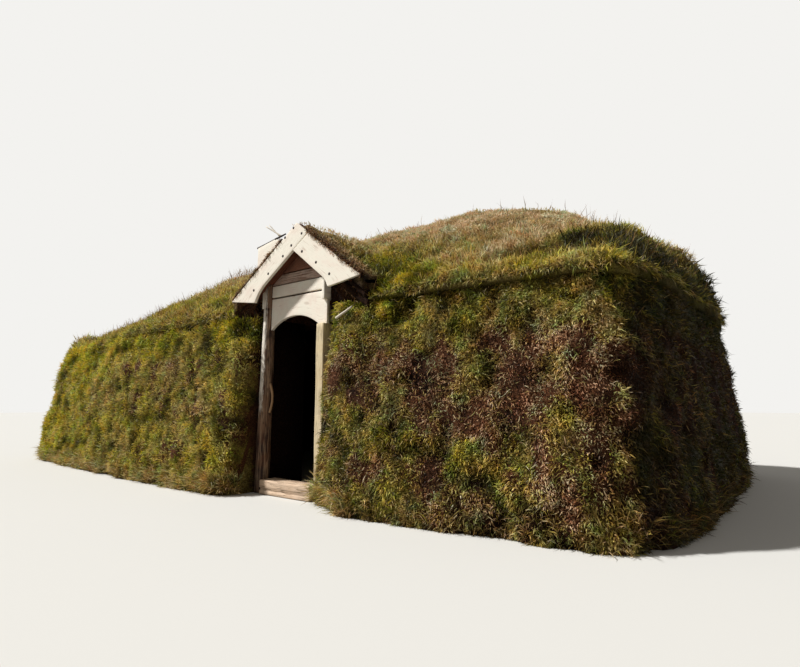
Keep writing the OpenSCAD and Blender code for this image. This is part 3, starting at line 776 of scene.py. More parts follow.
# Woods: the material's name, the names of its pale, dark and warm tones, and what differs from the usual.
WOODS = {
    "board": ("Bare spruce boards", "board", "board_dark", "board_warm",
              {"knots": 0.4, "grime": 0.12, "checks": 0.06, "grain_at": (0.22, 0.40)}),
    "jamb": ("Bare pine jamb", "jamb", "jamb_dark", "jamb_warm", {"grime": 0.4, "checks": 0.3}),
    "plank": ("Weathered spruce planks", "plank", "plank_dark", "plank_warm",
              {"knots": 0.95, "grime": 0.6, "checks": 0.6, "grain_at": (0.32, 0.54)}),
    "stained": ("Resin-stained spruce plank", "stained", "stained_dark", "stained_warm",
                {"knots": 0.9, "grime": 0.6, "checks": 0.6}),
    "log": ("Weathered pine log", "log", "log_dark", "log_warm",
            {"flakes": "flake", "knots": 0.7, "streak": (3.0, 38.0), "grime": 0.6, "checks": 0.8,
             "grain_at": (0.40, 0.60)}),
    "sill": ("Worn pine threshold", "sill", "sill_dark", "sill_warm", {"grime": 0.45, "checks": 0.9}),
    "soffit": ("Resin-stained pine boards", "soffit", "soffit_dark", None,
               {"knots": 0.6, "grime": 0.5, "checks": 0.3}),
    "grip": ("Hand-worn birch bough", "bough", "bough_dark", None, {"knots": 0.3, "roughness": 0.5}),
    "stick": ("Peeled sticks", "stick", "stick_dark", None, {"knots": 0.2}),
    "bark": ("Dark barked sticks", "bark", "bark_dark", None, {"knots": 0.2}),
}
WOODS.update({"timber" + axis: ("Smoke-darkened timber along " + axis, "timber", "timber_dark", None,
                                {"knots": 0.6, "grime": 0.6, "coordinates": "Object", "turn": turn})
              for axis, turn in (("X", (0, 0, 0)), ("Y", (0, 0, math.pi / 2)), ("Z", (0, math.pi / 2, 0)))})
MADE = {}


def material(key):
    """The material of that key, made the first time it is asked for."""
    if key not in MADE:
        if key in WOODS:
            *names, more = WOODS[key]
            MADE[key] = wood(*names, **more)
        else:
            MADE[key] = {"turf": turf, "grass": meadow_grass, "iron": iron}[key]()
    return MADE[key]


# Grass


def scatter(grid, amount, weight, rng):
    """Random places on a grid surface, with their normals: cells are chosen by area times weight."""
    a, b, c, d = grid[:-1, :-1], grid[1:, :-1], grid[1:, 1:], grid[:-1, 1:]
    area = np.linalg.norm(np.cross(c - a, d - b), axis=-1) / 2
    centre = (a + b + c + d) / 4
    chance = (area * weight(centre)).ravel()
    cells = rng.choice(chance.size, size=amount, p=chance / chance.sum())
    u, v = rng.random((2, amount, 1))
    a, b, c, d = (corner.reshape(-1, 3)[cells] for corner in (a, b, c, d))
    place = (a * (1 - u) + b * u) * (1 - v) + (d * (1 - u) + c * u) * v
    normal = outward(grid)[:-1, :-1].reshape(-1, 3)[cells]
    return place, normal


def blades(name, place, normal, rise, droop, length, width, kind, tone, rng, steps=2, lift=0.004):
    """Blades of grass: each a strip along a line that starts in the rise direction and turns towards the
    droop, narrow at the root, widest low down and pointed at the tip."""
    amount = len(place)
    rise = unit(rise)
    line = [place - normal * lift]
    for k in range(steps):
        heading = unit(rise + droop * (k / max(1, steps - 1)) ** 1.3)
        line.append(line[-1] + heading * (length / steps)[:, None])
    facing = unit(normal * 0.8 + 0.7 * rng.normal(size=(amount, 3)))
    side = unit(np.cross(rise, facing)) * (width / 2)[:, None]
    rows, reach, pattern = [line[0][:, None]], [0.0], [(0, 2, 1)]
    for k, share in zip(range(1, steps), (1.0, 0.75, 0.5)):
        rows.append(np.stack([line[k] - side * share, line[k] + side * share], 1))
        reach += [k / steps] * 2
        if k < steps - 1:
            a = 2 * k - 1
            pattern += [(a, a + 1, a + 3), (a, a + 3, a + 2)]
    rows.append(line[-1][:, None])
    reach.append(1.0)
    points = np.concatenate(rows, axis=1)
    per = points.shape[1]
    pattern.append((per - 3, per - 2, per - 1))
    low, high = (np.array(corner) for corner in CAD_BOX)
    low, high = low - GROW_OUT, high + GROW_OUT
    low[2] = GROUND_GAP
    points = np.clip(points, low, high).reshape(-1, 3)
    faces = (np.arange(amount)[:, None, None] * per + np.array(pattern)).reshape(-1, 3)
    field = joined(np.array(reach), np.clip(kind, 0, 1)[:, None], np.clip(tone, 0, 1)[:, None]).reshape(-1, 3)
    return put(name, points, [faces], material("grass"), field=field, closed=False)


def kinds(place, rng, wild=0.12):
    """What grows at each place, 0 living, 0.5 straw and 1 root fibre, and how bright each blade is: painted
    shade in the sods' pits, beside the doorway and between the hanging tufts, and painted sunlight and shade.
    """
    cover, dry = growth(place)
    amount = len(place)
    x, y, z = place.T
    bare = ramp_up(0.40 - 0.25 * rng.random(amount) - cover, -0.12, 0.22)
    kind = 0.5 * np.clip(dry + wild * rng.normal(size=amount), 0, 1)
    light = ramp_up(sods(place), -1.6, 0.3)
    left, _ = doorway()
    roof = on_roof(z)
    high = roof * on_crown(z)
    kind = np.clip(kind + bare * (1 - kind) + high * 0.08 * rng.random(amount), 0, 1)
    sun = painted_sun_and_shade(place)
    # Beside the doorway the turf turns away from the sun, so the blades there are painted dark as its shade.
    beside = bell(x, left, 0.04) * (y < FRONT) * (1 - roof)
    tone = 0.50 + 0.36 * noise(place * [1, 1, 0.55], 0.10, 76) + 0.32 * rng.normal(size=amount)
    tone = np.clip(tone + np.maximum(sun, 0), 0, 1) * (1 - (0.65 - 0.35 * high) * (1 - light))
    return kind, tone * (1 - 0.6 * beside) * (1 - 0.6 * painted_gap_shade(place)) + np.minimum(sun, 0)


def grow(name, grid, amount, length, width, weight, rng, stand, hang, spread=0.8, bare=0.35, swirl=0.8):
    """Grass over a grid surface: thick where the cover is, dry where the turf is dry, in tufts that lean
    alike. It stands along the normal and up by two shares, hangs by a third and strays by the spread."""
    def chance(at):
        cover, _ = growth(at)
        clump = 0.5 + 0.5 * noise(at, 0.11, 71)
        return weight(at) * (bare + cover) * (0.3 + clump)

    place, normal = scatter(grid, amount, chance, rng)
    # Beside the porch the grid's rows step, so there the slope's own normal is taken.
    beside = np.abs(place[:, :1] - np.array(porch_sides())).min(axis=1) < 0.11
    beside &= (place[:, 1] < 0) & (place[:, 2] > 2.1)
    normal = np.where(beside[:, None], slope_normal(place), normal)
    cover, _ = growth(place)
    turned = joined(*(noise(place, 0.13, 73 + i) for i in range(3)))
    # On the level top the grass lies lower and is shorter.
    flat = on_level(place[:, 2])
    rise = (normal * stand[0] + UP * stand[1]) * (1 - 0.6 * flat)[:, None]
    rise = rise + spread * 0.5 * rng.normal(size=(amount, 3)) + swirl * turned
    droop = -UP * hang + 0.5 * rng.normal(size=(amount, 3))
    size = length * (0.55 + 0.5 * rng.random(amount))
    size = size * (1 + 0.35 * noise(place, 0.15, 72)) * (0.6 + 0.5 * cover)
    size = np.where(rng.random(amount) < 0.07, size * 1.5, size) * (1 - 0.45 * flat)
    kind, tone = kinds(place, rng)
    width = width * (0.6 + 0.8 * rng.random(amount))
    return blades(name, place, normal, rise, droop, size, width, kind, tone, rng)


# Turf skins


def doorway():
    """The passage between the front walls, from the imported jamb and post."""
    post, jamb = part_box("door_post_left"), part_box("door_jamb_right")
    return post[0][0] - FIT, jamb[1][0] + FIT


def wall_grid(levels, spacing):
    """Outer face of the walls from one side of the doorway all the way round to the other, level by level."""
    f, k = form(), looks()
    left, right = doorway()
    turns = even_turns(turn_of_front(right), turn_of_front(left) + 4, spacing, 0.5)
    rows = []
    for level in levels:
        x, y = wall_plan(turns, level)
        on_right = x > (left + right) / 2
        near = np.where(on_right, 1 - (x - right) / f.door_run, 1 - (left - x) / k.left_turn)
        near = np.where(y < 0, np.clip(near, 0, 1), 0)
        y = y + np.where(on_right, f.door_depth, k.left_depth) * (1 - np.sqrt(1 - near ** 2))
        rows.append(joined(x, y, level * f.wall))
    return turns, np.stack(rows, 1)


def wall_skin():
    """The walls' outer face, let in by the depth of the grass and pushed in and out by the sods."""
    k = looks()
    turns, smooth = wall_grid(np.linspace(0, 1, 46), 0.045)
    normal = outward(smooth)
    x, y, z = np.moveaxis(smooth, -1, 0)
    push = -k.nap + k.lump * sods(smooth) - 0.01 * ramp_up(z, 1.6, 1.9)
    # At the doorway's right side the turf stands straighter, so that the jamb shows down to its foot.
    push = push + (0.105 * z - 0.12) * bell(x, 2.36, 0.24) * (y < -2.4)
    # Round the left end the walls stand a little fuller near their top.
    push = push + 0.06 * ramp_up(-x, 4.4, 5.1) * ramp_up(z, 0.9, 1.5)
    # Beside the doorway the sods move only in and out of the wall, so that the passage stays clear.
    ends = np.minimum(np.arange(len(turns)), np.arange(len(turns))[::-1])
    normal[..., 0] *= np.clip(ends / 4, 0, 1)[:, None]
    skin = smooth + normal * np.minimum(push, SOD_OUT)[..., None]
    skin[..., 2] = smooth[..., 2]
    return turns, skin


def roof_turns(spacing):
    """Turns round the eave, alike at front and back, with two at each side of the porch."""
    edges = [turn_of_front(side) for side in porch_sides()]
    end = even_turns(0, 1, spacing, 1.0)
    side = even_turns(3, 4, spacing, 1.0)
    keep = np.all([np.abs(side - e) > 0.002 for e in edges], axis=0)
    side = np.sort(np.concatenate([side[keep]] + [[e - 1e-4, e + 1e-4] for e in edges]))
    back = 5 - side[::-1]
    return np.concatenate([end[:-1], back[:-1], end[:-1] + 2, side[:-1]])


def porch_sides():
    low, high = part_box("porch_turf_left"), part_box("porch_turf_right")
    return low[0][0], high[1][0]


def roof_grid(shares, spacing):
    """Top of the roof from the eave to the crest. Behind the porch it starts at the porch's back."""
    f = form()
    left, right = porch_sides()
    back = -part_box("porch_turf_left")[1][1]
    turns = roof_turns(spacing)
    end = end_reach(1.0) + f.eave
    x0, y0 = plan(turns, eave_out, end, eave_out(end_start()), f.corner_power)
    cut = np.where((x0 > left) & (x0 < right) & (y0 < -1.9), back / eave_out(x0), 1.0)
    rows = []
    for share in shares:
        s = share * cut
        reach = end * share ** (f.slope_power / f.end_power)
        power = ROOF_END_POWER + (f.corner_power - ROOF_END_POWER) * share
        x, y = plan(turns, lambda at: eave_out(at) * s, reach, eave_out(end_start()) * share, power)
        rows.append(joined(x, y, roof_height(x, s)))
    return turns, cut, np.stack(rows, 1)


# Places of the roof that have sunk or heaved: middle, width and height
SETTLED = ((4.86, -0.32, 2.94, 0.52, -0.33), (5.00, 0.50, 2.62, 0.50, 0.13), (3.3, -0.2, 3.44, 0.7, 0.04),
           (4.12, -0.45, 3.16, 0.36, 0.04), (-2.9, -2.2, 2.46, 0.8, -0.05), (-4.9, -2.3, 2.1, 0.5, 0.08))


def settled(points):
    """How far old turf has sunk or heaved: bells, each about its own place with its own width and height."""
    total = -0.05 * ramp_up(-points[..., 0], 1.6, 3.2)
    for x, y, z, wide, height in SETTLED:
        total = total + height * np.exp(-np.sum((points - [x, y, z]) ** 2, axis=-1) / wide ** 2)
    return total


def slope_normal(points):
    """Normal of a long slope, from the roof's heights a millimetre to each side."""
    x, y = points[..., 0], points[..., 1]
    step = 0.001

    def height(x, y):
        return roof_height(x, np.abs(y) / eave_out(x))

    along = height(x - step, y) - height(x + step, y)
    across = height(x, y - step) - height(x, y + step)
    return unit(joined(along, across, 2 * step))


def roof_skin():
    """The roof's top and its hanging edge, let in by the grass's depth, pushed about by the sods and tucked
    in along the eave, most of all left of the porch."""
    k = looks()
    shares = 1 - np.linspace(0, 1, 62) ** 1.15
    turns, cut, smooth = roof_grid(shares, 0.05)
    normal = outward(np.concatenate([smooth[-1:], smooth, smooth[:1]]))[1:-1]
    # Beside the porch the grid's rows step, so there the slope's own normal is taken.
    from_side = np.abs(smooth[:, 0, :1] - np.array(porch_sides())).min(axis=1)
    stepped = (from_side < 0.06) & (smooth[:, 0, 1] < -1.0)
    normal[stepped] = slope_normal(smooth[stepped])
    normal[:, -1] = UP
    flat = on_level(smooth[..., 2])
    push = -0.8 * k.nap * (1 - flat) + 1.1 * k.lump * sods(smooth) * (1 - 0.35 * flat)
    # Behind the porch the first rows lie under its turf, so they keep nearer to their places.
    edge = np.where(cut < 1, 0.0, 1.0)[:, None]
    far = np.linalg.norm(smooth - smooth[:, :1], axis=-1)
    hold = 1 - 0.6 * (1 - edge) * ramp_up(from_side, 0, 0.25)[:, None] * (1 - ramp_up(far, 0, 0.5))
    round_off = ramp_up(-smooth[..., 0], 2.0, 4.3)
    tuck = 0.055 - 0.035 * ramp_up(smooth[..., 0], 1.5, 3.0) + 0.05 * round_off
    tuck = tuck * bell(far, 0, 0.07 + 0.10 * round_off) * edge
    lift = np.minimum(push, SOD_OUT) * hold + settled(smooth)
    skin = smooth + normal * lift[..., None]
    skin -= unit(normal * [1, 1, 0] + 1e-6) * tuck[..., None]
    return turns, cut, skin


def smooth_max(a, b, soft):
    """The larger of two heights, with the crease between them filled by a parabola."""
    near = np.maximum(soft - np.abs(a - b), 0) / soft
    return np.maximum(a, b) + near * near * soft / 4


def porch_top(x, y):
    return smooth_max(roof_height(x, np.abs(y) / eave_out(x)), porch_height(x) + 0.05, 0.16)


# Boards


def board(low, high, front, back, bevel=0.003, start=0.0, wobble=0.0, seed=0, groove=None):
    """A board with two rails in X and Z: the section is a rounded rectangle from the low rail to the high
    one, and both ends are rounded over by smaller sections. Start moves the grain along, and a groove in
    the front face has a place across the board, a depth and a width."""
    low, high = np.asarray(low, float), np.asarray(high, float)
    width = np.linalg.norm(high - low, axis=1)
    depth = back - front
    arc = np.radians([0, 30, 60, 90])
    inset, sink = bevel * (1 - np.sin(arc)), bevel * (1 - np.cos(arc))
    # Each point of the section: counted from the low rail, from the high one or as a share, and how deep.
    section = [("low", sink[k], inset[k]) for k in range(4)]
    section += [("share", t, 0.0) for t in np.linspace(0.12, 0.88, 7)]
    section += [("high", sink[k], inset[k]) for k in (3, 2, 1, 0)]
    section += [("high", sink[k], depth - inset[k]) for k in range(4)]
    section += [("share", t, depth) for t in (0.66, 0.33)]
    section += [("low", sink[k], depth - inset[k]) for k in (3, 2, 1, 0)]
    rings = []
    for kind, a, d in section:
        v = a / width if kind == "low" else 1 - a / width if kind == "high" else np.full_like(width, a)
        xz = low + (high - low) * v[:, None]
        y = np.full(len(low), front + d)
        if groove is not None and d == 0.0 and kind == "share":
            y = y + groove[1] * bell(v, groove[0], groove[2])
        rings.append(joined(xz[:, 0], y, xz[:, 1]))
    rings = np.stack(rings, 1)
    if wobble:
        rings[..., 1] += wobble * noise(rings + seed, 0.4, 5)
        rings[..., 2] += 0.6 * wobble * noise(rings + seed, 0.25, 6)
    centre = rings.mean(axis=1, keepdims=True)
    first = centre[0] + (rings[0] - centre[0]) * (1 - 2 * bevel / max(width[0], depth))
    last = centre[-1] + (rings[-1] - centre[-1]) * (1 - 2 * bevel / max(width[-1], depth))
    rings[0] += unit(centre[1] - centre[0]) * bevel * 0.7
    rings[-1] -= unit(centre[-1] - centre[-2]) * bevel * 0.7
    return loft(np.concatenate([first[None], rings, last[None]]), start)


def put_board(name, key, slot, *shape, **more):
    """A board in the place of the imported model's node of the same name."""
    points, faces, uv = board(*shape, **more)
    return put(name, points, faces, material(key), [name], uv=uv)


def rail(points, amount):
    """A polyline sampled evenly along its length."""
    points = np.asarray(points, float)
    length = added_up(np.linalg.norm(np.diff(points, axis=0), axis=1))
    at = np.linspace(0, length[-1], amount)
    return joined(*(np.interp(at, length, column) for column in points.T))


def log_between(a, b, radius, seed, sides=28, rings=40, knobbly=0.03, taper=0.0):
    """A log: circles along a line, each radius swayed by noise along and round the log."""
    a, b = np.asarray(a, float), np.asarray(b, float)
    axis = unit(b - a)
    helper = UP if abs(axis[2]) < 0.9 else np.array([1.0, 0, 0])
    one = unit(np.cross(axis, helper))
    two = np.cross(axis, one)
    t = np.linspace(0, 1, rings)[:, None, None]
    angle = round_angles(sides)[None, :, None]
    ring = np.cos(angle) * one + np.sin(angle) * two
    base = a + (b - a) * t
    swell = 1 + knobbly * noise(base + ring * radius * 1.5 + seed, 0.12, seed) - taper * t[..., 0]
    return loft(base + ring * radius * swell[..., None], seed)


class HouseOperator:
    """What the operators of the turf house share."""

    bl_options = {"REGISTER", "UNDO"}


class TURFHOUSE_OT_stage(HouseOperator, Operator):
    """Floor, light and the camera at the photograph's place"""

    bl_idname = "turfhouse.stage"
    bl_label = "Stage"

    FLOOR_REACH, FLOOR_Z = 60.0, -0.002
    FLOOR_BOUNCE = 0.4  # the floor's share of tone for light that it throws back up, as dark as a lawn
    FILL, FILL_TONE = 0.24, (1.0, 0.96, 0.91, 1)
    SUN, SUN_WIDTH, SUN_FROM = 4.6, 3.5, (0.55, 0.46, -0.70)
    LENS, SENSOR, FAR = 24.0, 36.0, 300.0
    CAMERA, TILT, TURN = (6.17, -6.55, 1.0), 97.42, 38.0

    def execute(self, context):
        scene = context.scene
        mesh = bpy.data.meshes.new("floor")
        reach = self.FLOOR_REACH
        mesh.from_pydata([(x, y, self.FLOOR_Z) for x, y in ((-reach, -reach), (reach, -reach), (reach, reach),
                                                            (-reach, reach))], [], [(0, 1, 2, 3)])
        mesh.materials.append(finish("Plain pale floor", self.ground))
        floor = bpy.data.objects.new("floor", mesh)
        context.collection.objects.link(floor)

        world = bpy.data.worlds.new("Studio")
        world.use_nodes = True
        scene.world = world
        tree = world.node_tree
        tree.nodes.clear()
        # The background's own tone shows to the camera and in reflections; the light itself is weaker.
        rays = add(tree, "LightPath").outputs
        seen = calculate(tree, "MAXIMUM", rays["Is Camera Ray"], rays["Is Glossy Ray"])
        seen = calculate(tree, "MAXIMUM", seen, rays["Is Transmission Ray"])
        fill = add(tree, "Background", {"Color": self.FILL_TONE, "Strength": self.FILL})
        shown = add(tree, "Background", {"Color": (*tones().backdrop, 1), "Strength": 1.0})
        both = add(tree, "MixShader", {0: seen, 1: fill.outputs[0], 2: shown.outputs[0]})
        add(tree, "OutputWorld", {"Surface": both.outputs[0]})

        lamp = bpy.data.lights.new("key", "SUN")
        lamp.energy, lamp.angle = self.SUN, math.radians(self.SUN_WIDTH)
        key = bpy.data.objects.new("key", lamp)
        key.rotation_mode = "QUATERNION"
        key.rotation_quaternion = Vector(self.SUN_FROM).to_track_quat("-Z", "Y")
        context.collection.objects.link(key)

        lens = bpy.data.cameras.new("camera")
        lens.lens, lens.sensor_width, lens.clip_end = self.LENS, self.SENSOR, self.FAR
        camera = bpy.data.objects.new("camera", lens)
        camera.location = self.CAMERA
        camera.rotation_euler = (math.radians(self.TILT), 0, math.radians(self.TURN))
        context.collection.objects.link(camera)
        scene.camera = camera
        scene.view_settings.view_transform = "Standard"
        return {"FINISHED"}

    def ground(self, tree):
        """Pale to the camera, and darker to the light that it throws back up, as a lawn would be."""
        floor = tones().floor
        seen = add(tree, "LightPath").outputs["Is Camera Ray"]
        return surface(tree, mix(tree, seen, [part * self.FLOOR_BOUNCE for part in floor], floor), 0.9, 0.1)


class TURFHOUSE_OT_walls(HouseOperator, Operator):
    """Turf walls in one ring from one side of the doorway to the other"""

    bl_idname = "turfhouse.walls"
    bl_label = "Turf walls"

    PASSAGE_FRONT = -2.66  # Y behind which the passage's sides are bare

    def execute(self, context):
        f = form()
        turns, skin = wall_skin()
        inner_x, inner_y = inner_plan(turns)
        inner = [joined(inner_x, inner_y, h) for h in np.linspace(f.wall, 0, 9)]
        mid_top = (skin[:, -1] + inner[0]) / 2
        mid_foot = (skin[:, 0] + inner[-1]) / 2
        rings = np.concatenate([skin, mid_top[:, None], np.stack(inner, 1), mid_foot[:, None]], axis=1)
        points, faces, _ = loft(rings)
        field = skin_field(points)
        # Nothing grows in the passage or in the room, and their turf is painted dark as shade.
        x, y, _ = points.T
        left, right = doorway()
        inside = (x > left - 0.06) & (x < right + 0.06) & (y < 0) & (y > self.PASSAGE_FRONT)
        inside |= (np.abs(x) < f.room_x + 0.01) & (np.abs(y) < f.room_y + 0.01)
        field[inside] = [0, 0, 0.1]
        put("turf_walls", points, faces, material("turf"), WALLS, field=field)
        return {"FINISHED"}


class TURFHOUSE_OT_roof(HouseOperator, Operator):
    """Domed turf roof over the whole house"""

    bl_idname = "turfhouse.roof"
    bl_label = "Turf roof"

    def execute(self, context):
        f = form()
        turns, cut, skin = roof_skin()
        whole = cut > 0.999
        in_x, in_y = inner_plan(turns)
        back = -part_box("porch_turf_left")[1][1]
        ridge_under = f.wall + f.crest_rise - f.crest_depth
        slope = (ridge_under - f.wall) / f.room_y
        # Under the turf: from below the ridge down to the wall's inner edge, or to the porch, and out.
        low = np.where(whole, f.wall, ridge_under - slope * back)
        under = joined(in_x, 0.0, ridge_under)
        seat = joined(in_x, np.where(whole, in_y, -back), low)
        drop = joined(skin[:, 0, 0], skin[:, 0, 1], low)
        lines = (under, (under + seat) / 2, seat, (seat + drop) / 2, drop)
        strip = np.concatenate([*(line[:, None] for line in lines), skin], axis=1)
        n, m = strip.shape[:2]
        row, col = np.meshgrid(np.arange(n), np.arange(m - 1), indexing="ij")
        nxt = (row + 1) % n
        quads = joined(row * m + col, row * m + col + 1, nxt * m + col + 1, nxt * m + col).reshape(-1, 4)
        points = strip.reshape(-1, 3)
        put("turf_roof", points, [quads], material("turf"), ROOFS, field=skin_field(points),
            weld=True)
        return {"FINISHED"}


def slab(x, y, top, under):
    """A block on a grid: each section across Y is a closed loop over the top and back under it."""
    return loft(np.concatenate([joined(x, y, top), joined(x, y, under)[:, ::-1]], axis=1))


class TURFHOUSE_OT_porch_turf(HouseOperator, Operator):
    """Turf on the porch, run into the main roof, and the turf cheeks under it"""

    bl_idname = "turfhouse.porch_turf"
    bl_label = "Porch turf"

    LEAST = 0.06  # least thickness of the turf on the porch's boards

    def execute(self, context):
        k = looks()
        left, right = porch_sides()
        nodes = ["porch_turf_left", "porch_turf_right"]
        front_left, front_right = (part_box(node)[0][1] for node in nodes)
        xs = np.linspace(left, right, 50)
        front = np.where(xs < form().ridge_x, front_left, front_right)[:, None]
        y = front + (PORCH_BACK - front) * np.linspace(0, 1, 44)[None]
        x = np.broadcast_to(xs[:, None], y.shape)
        top = porch_top(x, y)
        top = top - 0.6 * k.nap + 1.1 * k.lump * sods(joined(x, y, top))
        under = soffit_height(x) + BOARD_T
        points, faces, _ = slab(x, y, np.maximum(top, under + self.LEAST), under)
        # Along the front edge the turf is cut, so dry roots show in it.
        field = skin_field(points)
        near_front = 1 - ramp_up(points[:, 1], -2.75, -2.2)
        field[:, 0] *= 1 - 0.5 * near_front
        field[:, 1] += (0.9 - field[:, 1]) * near_front
        put("porch_turf", points, faces, material("turf"), nodes, field=field)
        cheeks = []
        nodes = ["porch_cheek_left", "porch_cheek_right"]
        for node in nodes:
            low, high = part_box(node)
            x, y = np.meshgrid(np.linspace(low[0], high[0], 14), np.linspace(low[1], high[1], 24),
                               indexing="ij")
            points, faces, uv = slab(x, y, soffit_height(x), low[2])
            front = points[:, 1] < low[1] + 0.06
            points[:, 1] += np.where(front, 0.03 + 0.03 * sods(points), 0)
            cheeks.append((points, faces, uv))
        points, faces, _ = merged(cheeks)
        put("porch_cheeks", points, faces, material("turf"), nodes,
            field=skin_field(points, 0.2))
        return {"FINISHED"}


class TURFHOUSE_OT_fringe(HouseOperator, Operator):
    """Turf along the bargeboards' outer edges and crumbling turf under their feet, painted dark as shade"""

    bl_idname = "turfhouse.fringe"
    bl_label = "Turf fringe"

    ROOTS = 48  # root ends for each ring of a roll

    def execute(self, context):
        left, right = porch_sides()
        ridge = form().ridge_x
        # Each roll: its slope, points along it, both ends in X, how far over the slope, Y and radius.
        rolls = ((porch_height, 46, left + 0.03, ridge - 0.26, 0.016, -2.79, 0.030),
                 (porch_height, 46, ridge + 0.16, right - 0.02, 0.014, -2.79, 0.030),
                 (soffit_height, 24, left + 0.03, left + 0.34, -0.01, -2.69, 0.05),
                 (soffit_height, 24, right - 0.52, right - 0.03, -0.01, -2.69, 0.055),
                 (soffit_height, 24, right - 0.40, right - 0.02, -0.10, -2.66, 0.06),
                 (soffit_height, 24, left + 0.03, left + 0.30, -0.10, -2.66, 0.05))
        angle = round_angles(14)
        ring = joined(0.0, np.cos(angle), np.sin(angle))
        rng = np.random.default_rng(19)
        parts, roots = [], []
        for i, (slope, amount, x0, x1, over, y, radius) in enumerate(rolls):
            x = np.linspace(x0, x1, amount)
            path = joined(x, y, slope(x) + over)[:, None]
            base = path + ring * radius
            swell = 1 + 0.35 * noise(base + i, 0.07, 61) + 0.3 * noise(base + i, 0.16, 62)
            rings = path + ring * (radius * swell)[..., None]
            parts.append(loft(rings))
            closed = np.concatenate([rings, rings[:, :1]], axis=1)
            roots.append(scatter(closed, self.ROOTS * amount, lambda at: np.ones(at.shape[:-1]), rng))
        points, faces, _ = merged(parts)
        field = skin_field(points, 0.25)
        # Painted shade: the fringe's turf is darkened as if in the boards' shade.
        field[:, 2] = 0.15 + 0.35 * field[:, 2]
        put("turf_fringe", points, faces, material("turf"), field=field)
        place, normal = (np.concatenate(part) for part in zip(*roots))
        amount = len(place)
        below = place[:, 2] < soffit_height(place[:, 0]) + 0.06
        normal = unit(np.where(normal[:, 1:2] > 0.4, -normal, normal))
        rise = normal * 0.6 + np.array([0, -0.2, 0.1]) + 0.6 * rng.normal(size=(amount, 3))
        droop = np.array([0, -0.1, -1.2]) + 0.5 * rng.normal(size=(amount, 3))
        # Under the feet the roots stay behind the boards.
        for lean in (rise, droop):
            lean[:, 1] = np.where(below, np.abs(lean[:, 1]), lean[:, 1])
        length = np.where(below, 0.08, 0.045) * (0.4 + 0.8 * rng.random(amount))
        width = looks().blade_width * (0.5 + 0.4 * rng.random(amount))
        kind = 0.62 + 0.35 * rng.random(amount)
        # The root ends under the feet are painted darker, as painted shade under the boards.
        tone = 0.38 + 0.24 * rng.normal(size=amount) - 0.18 * below
        blades("grass_fringe", place, normal, rise, droop, length, width, kind, tone, rng,
               steps=3)
        return {"FINISHED"}


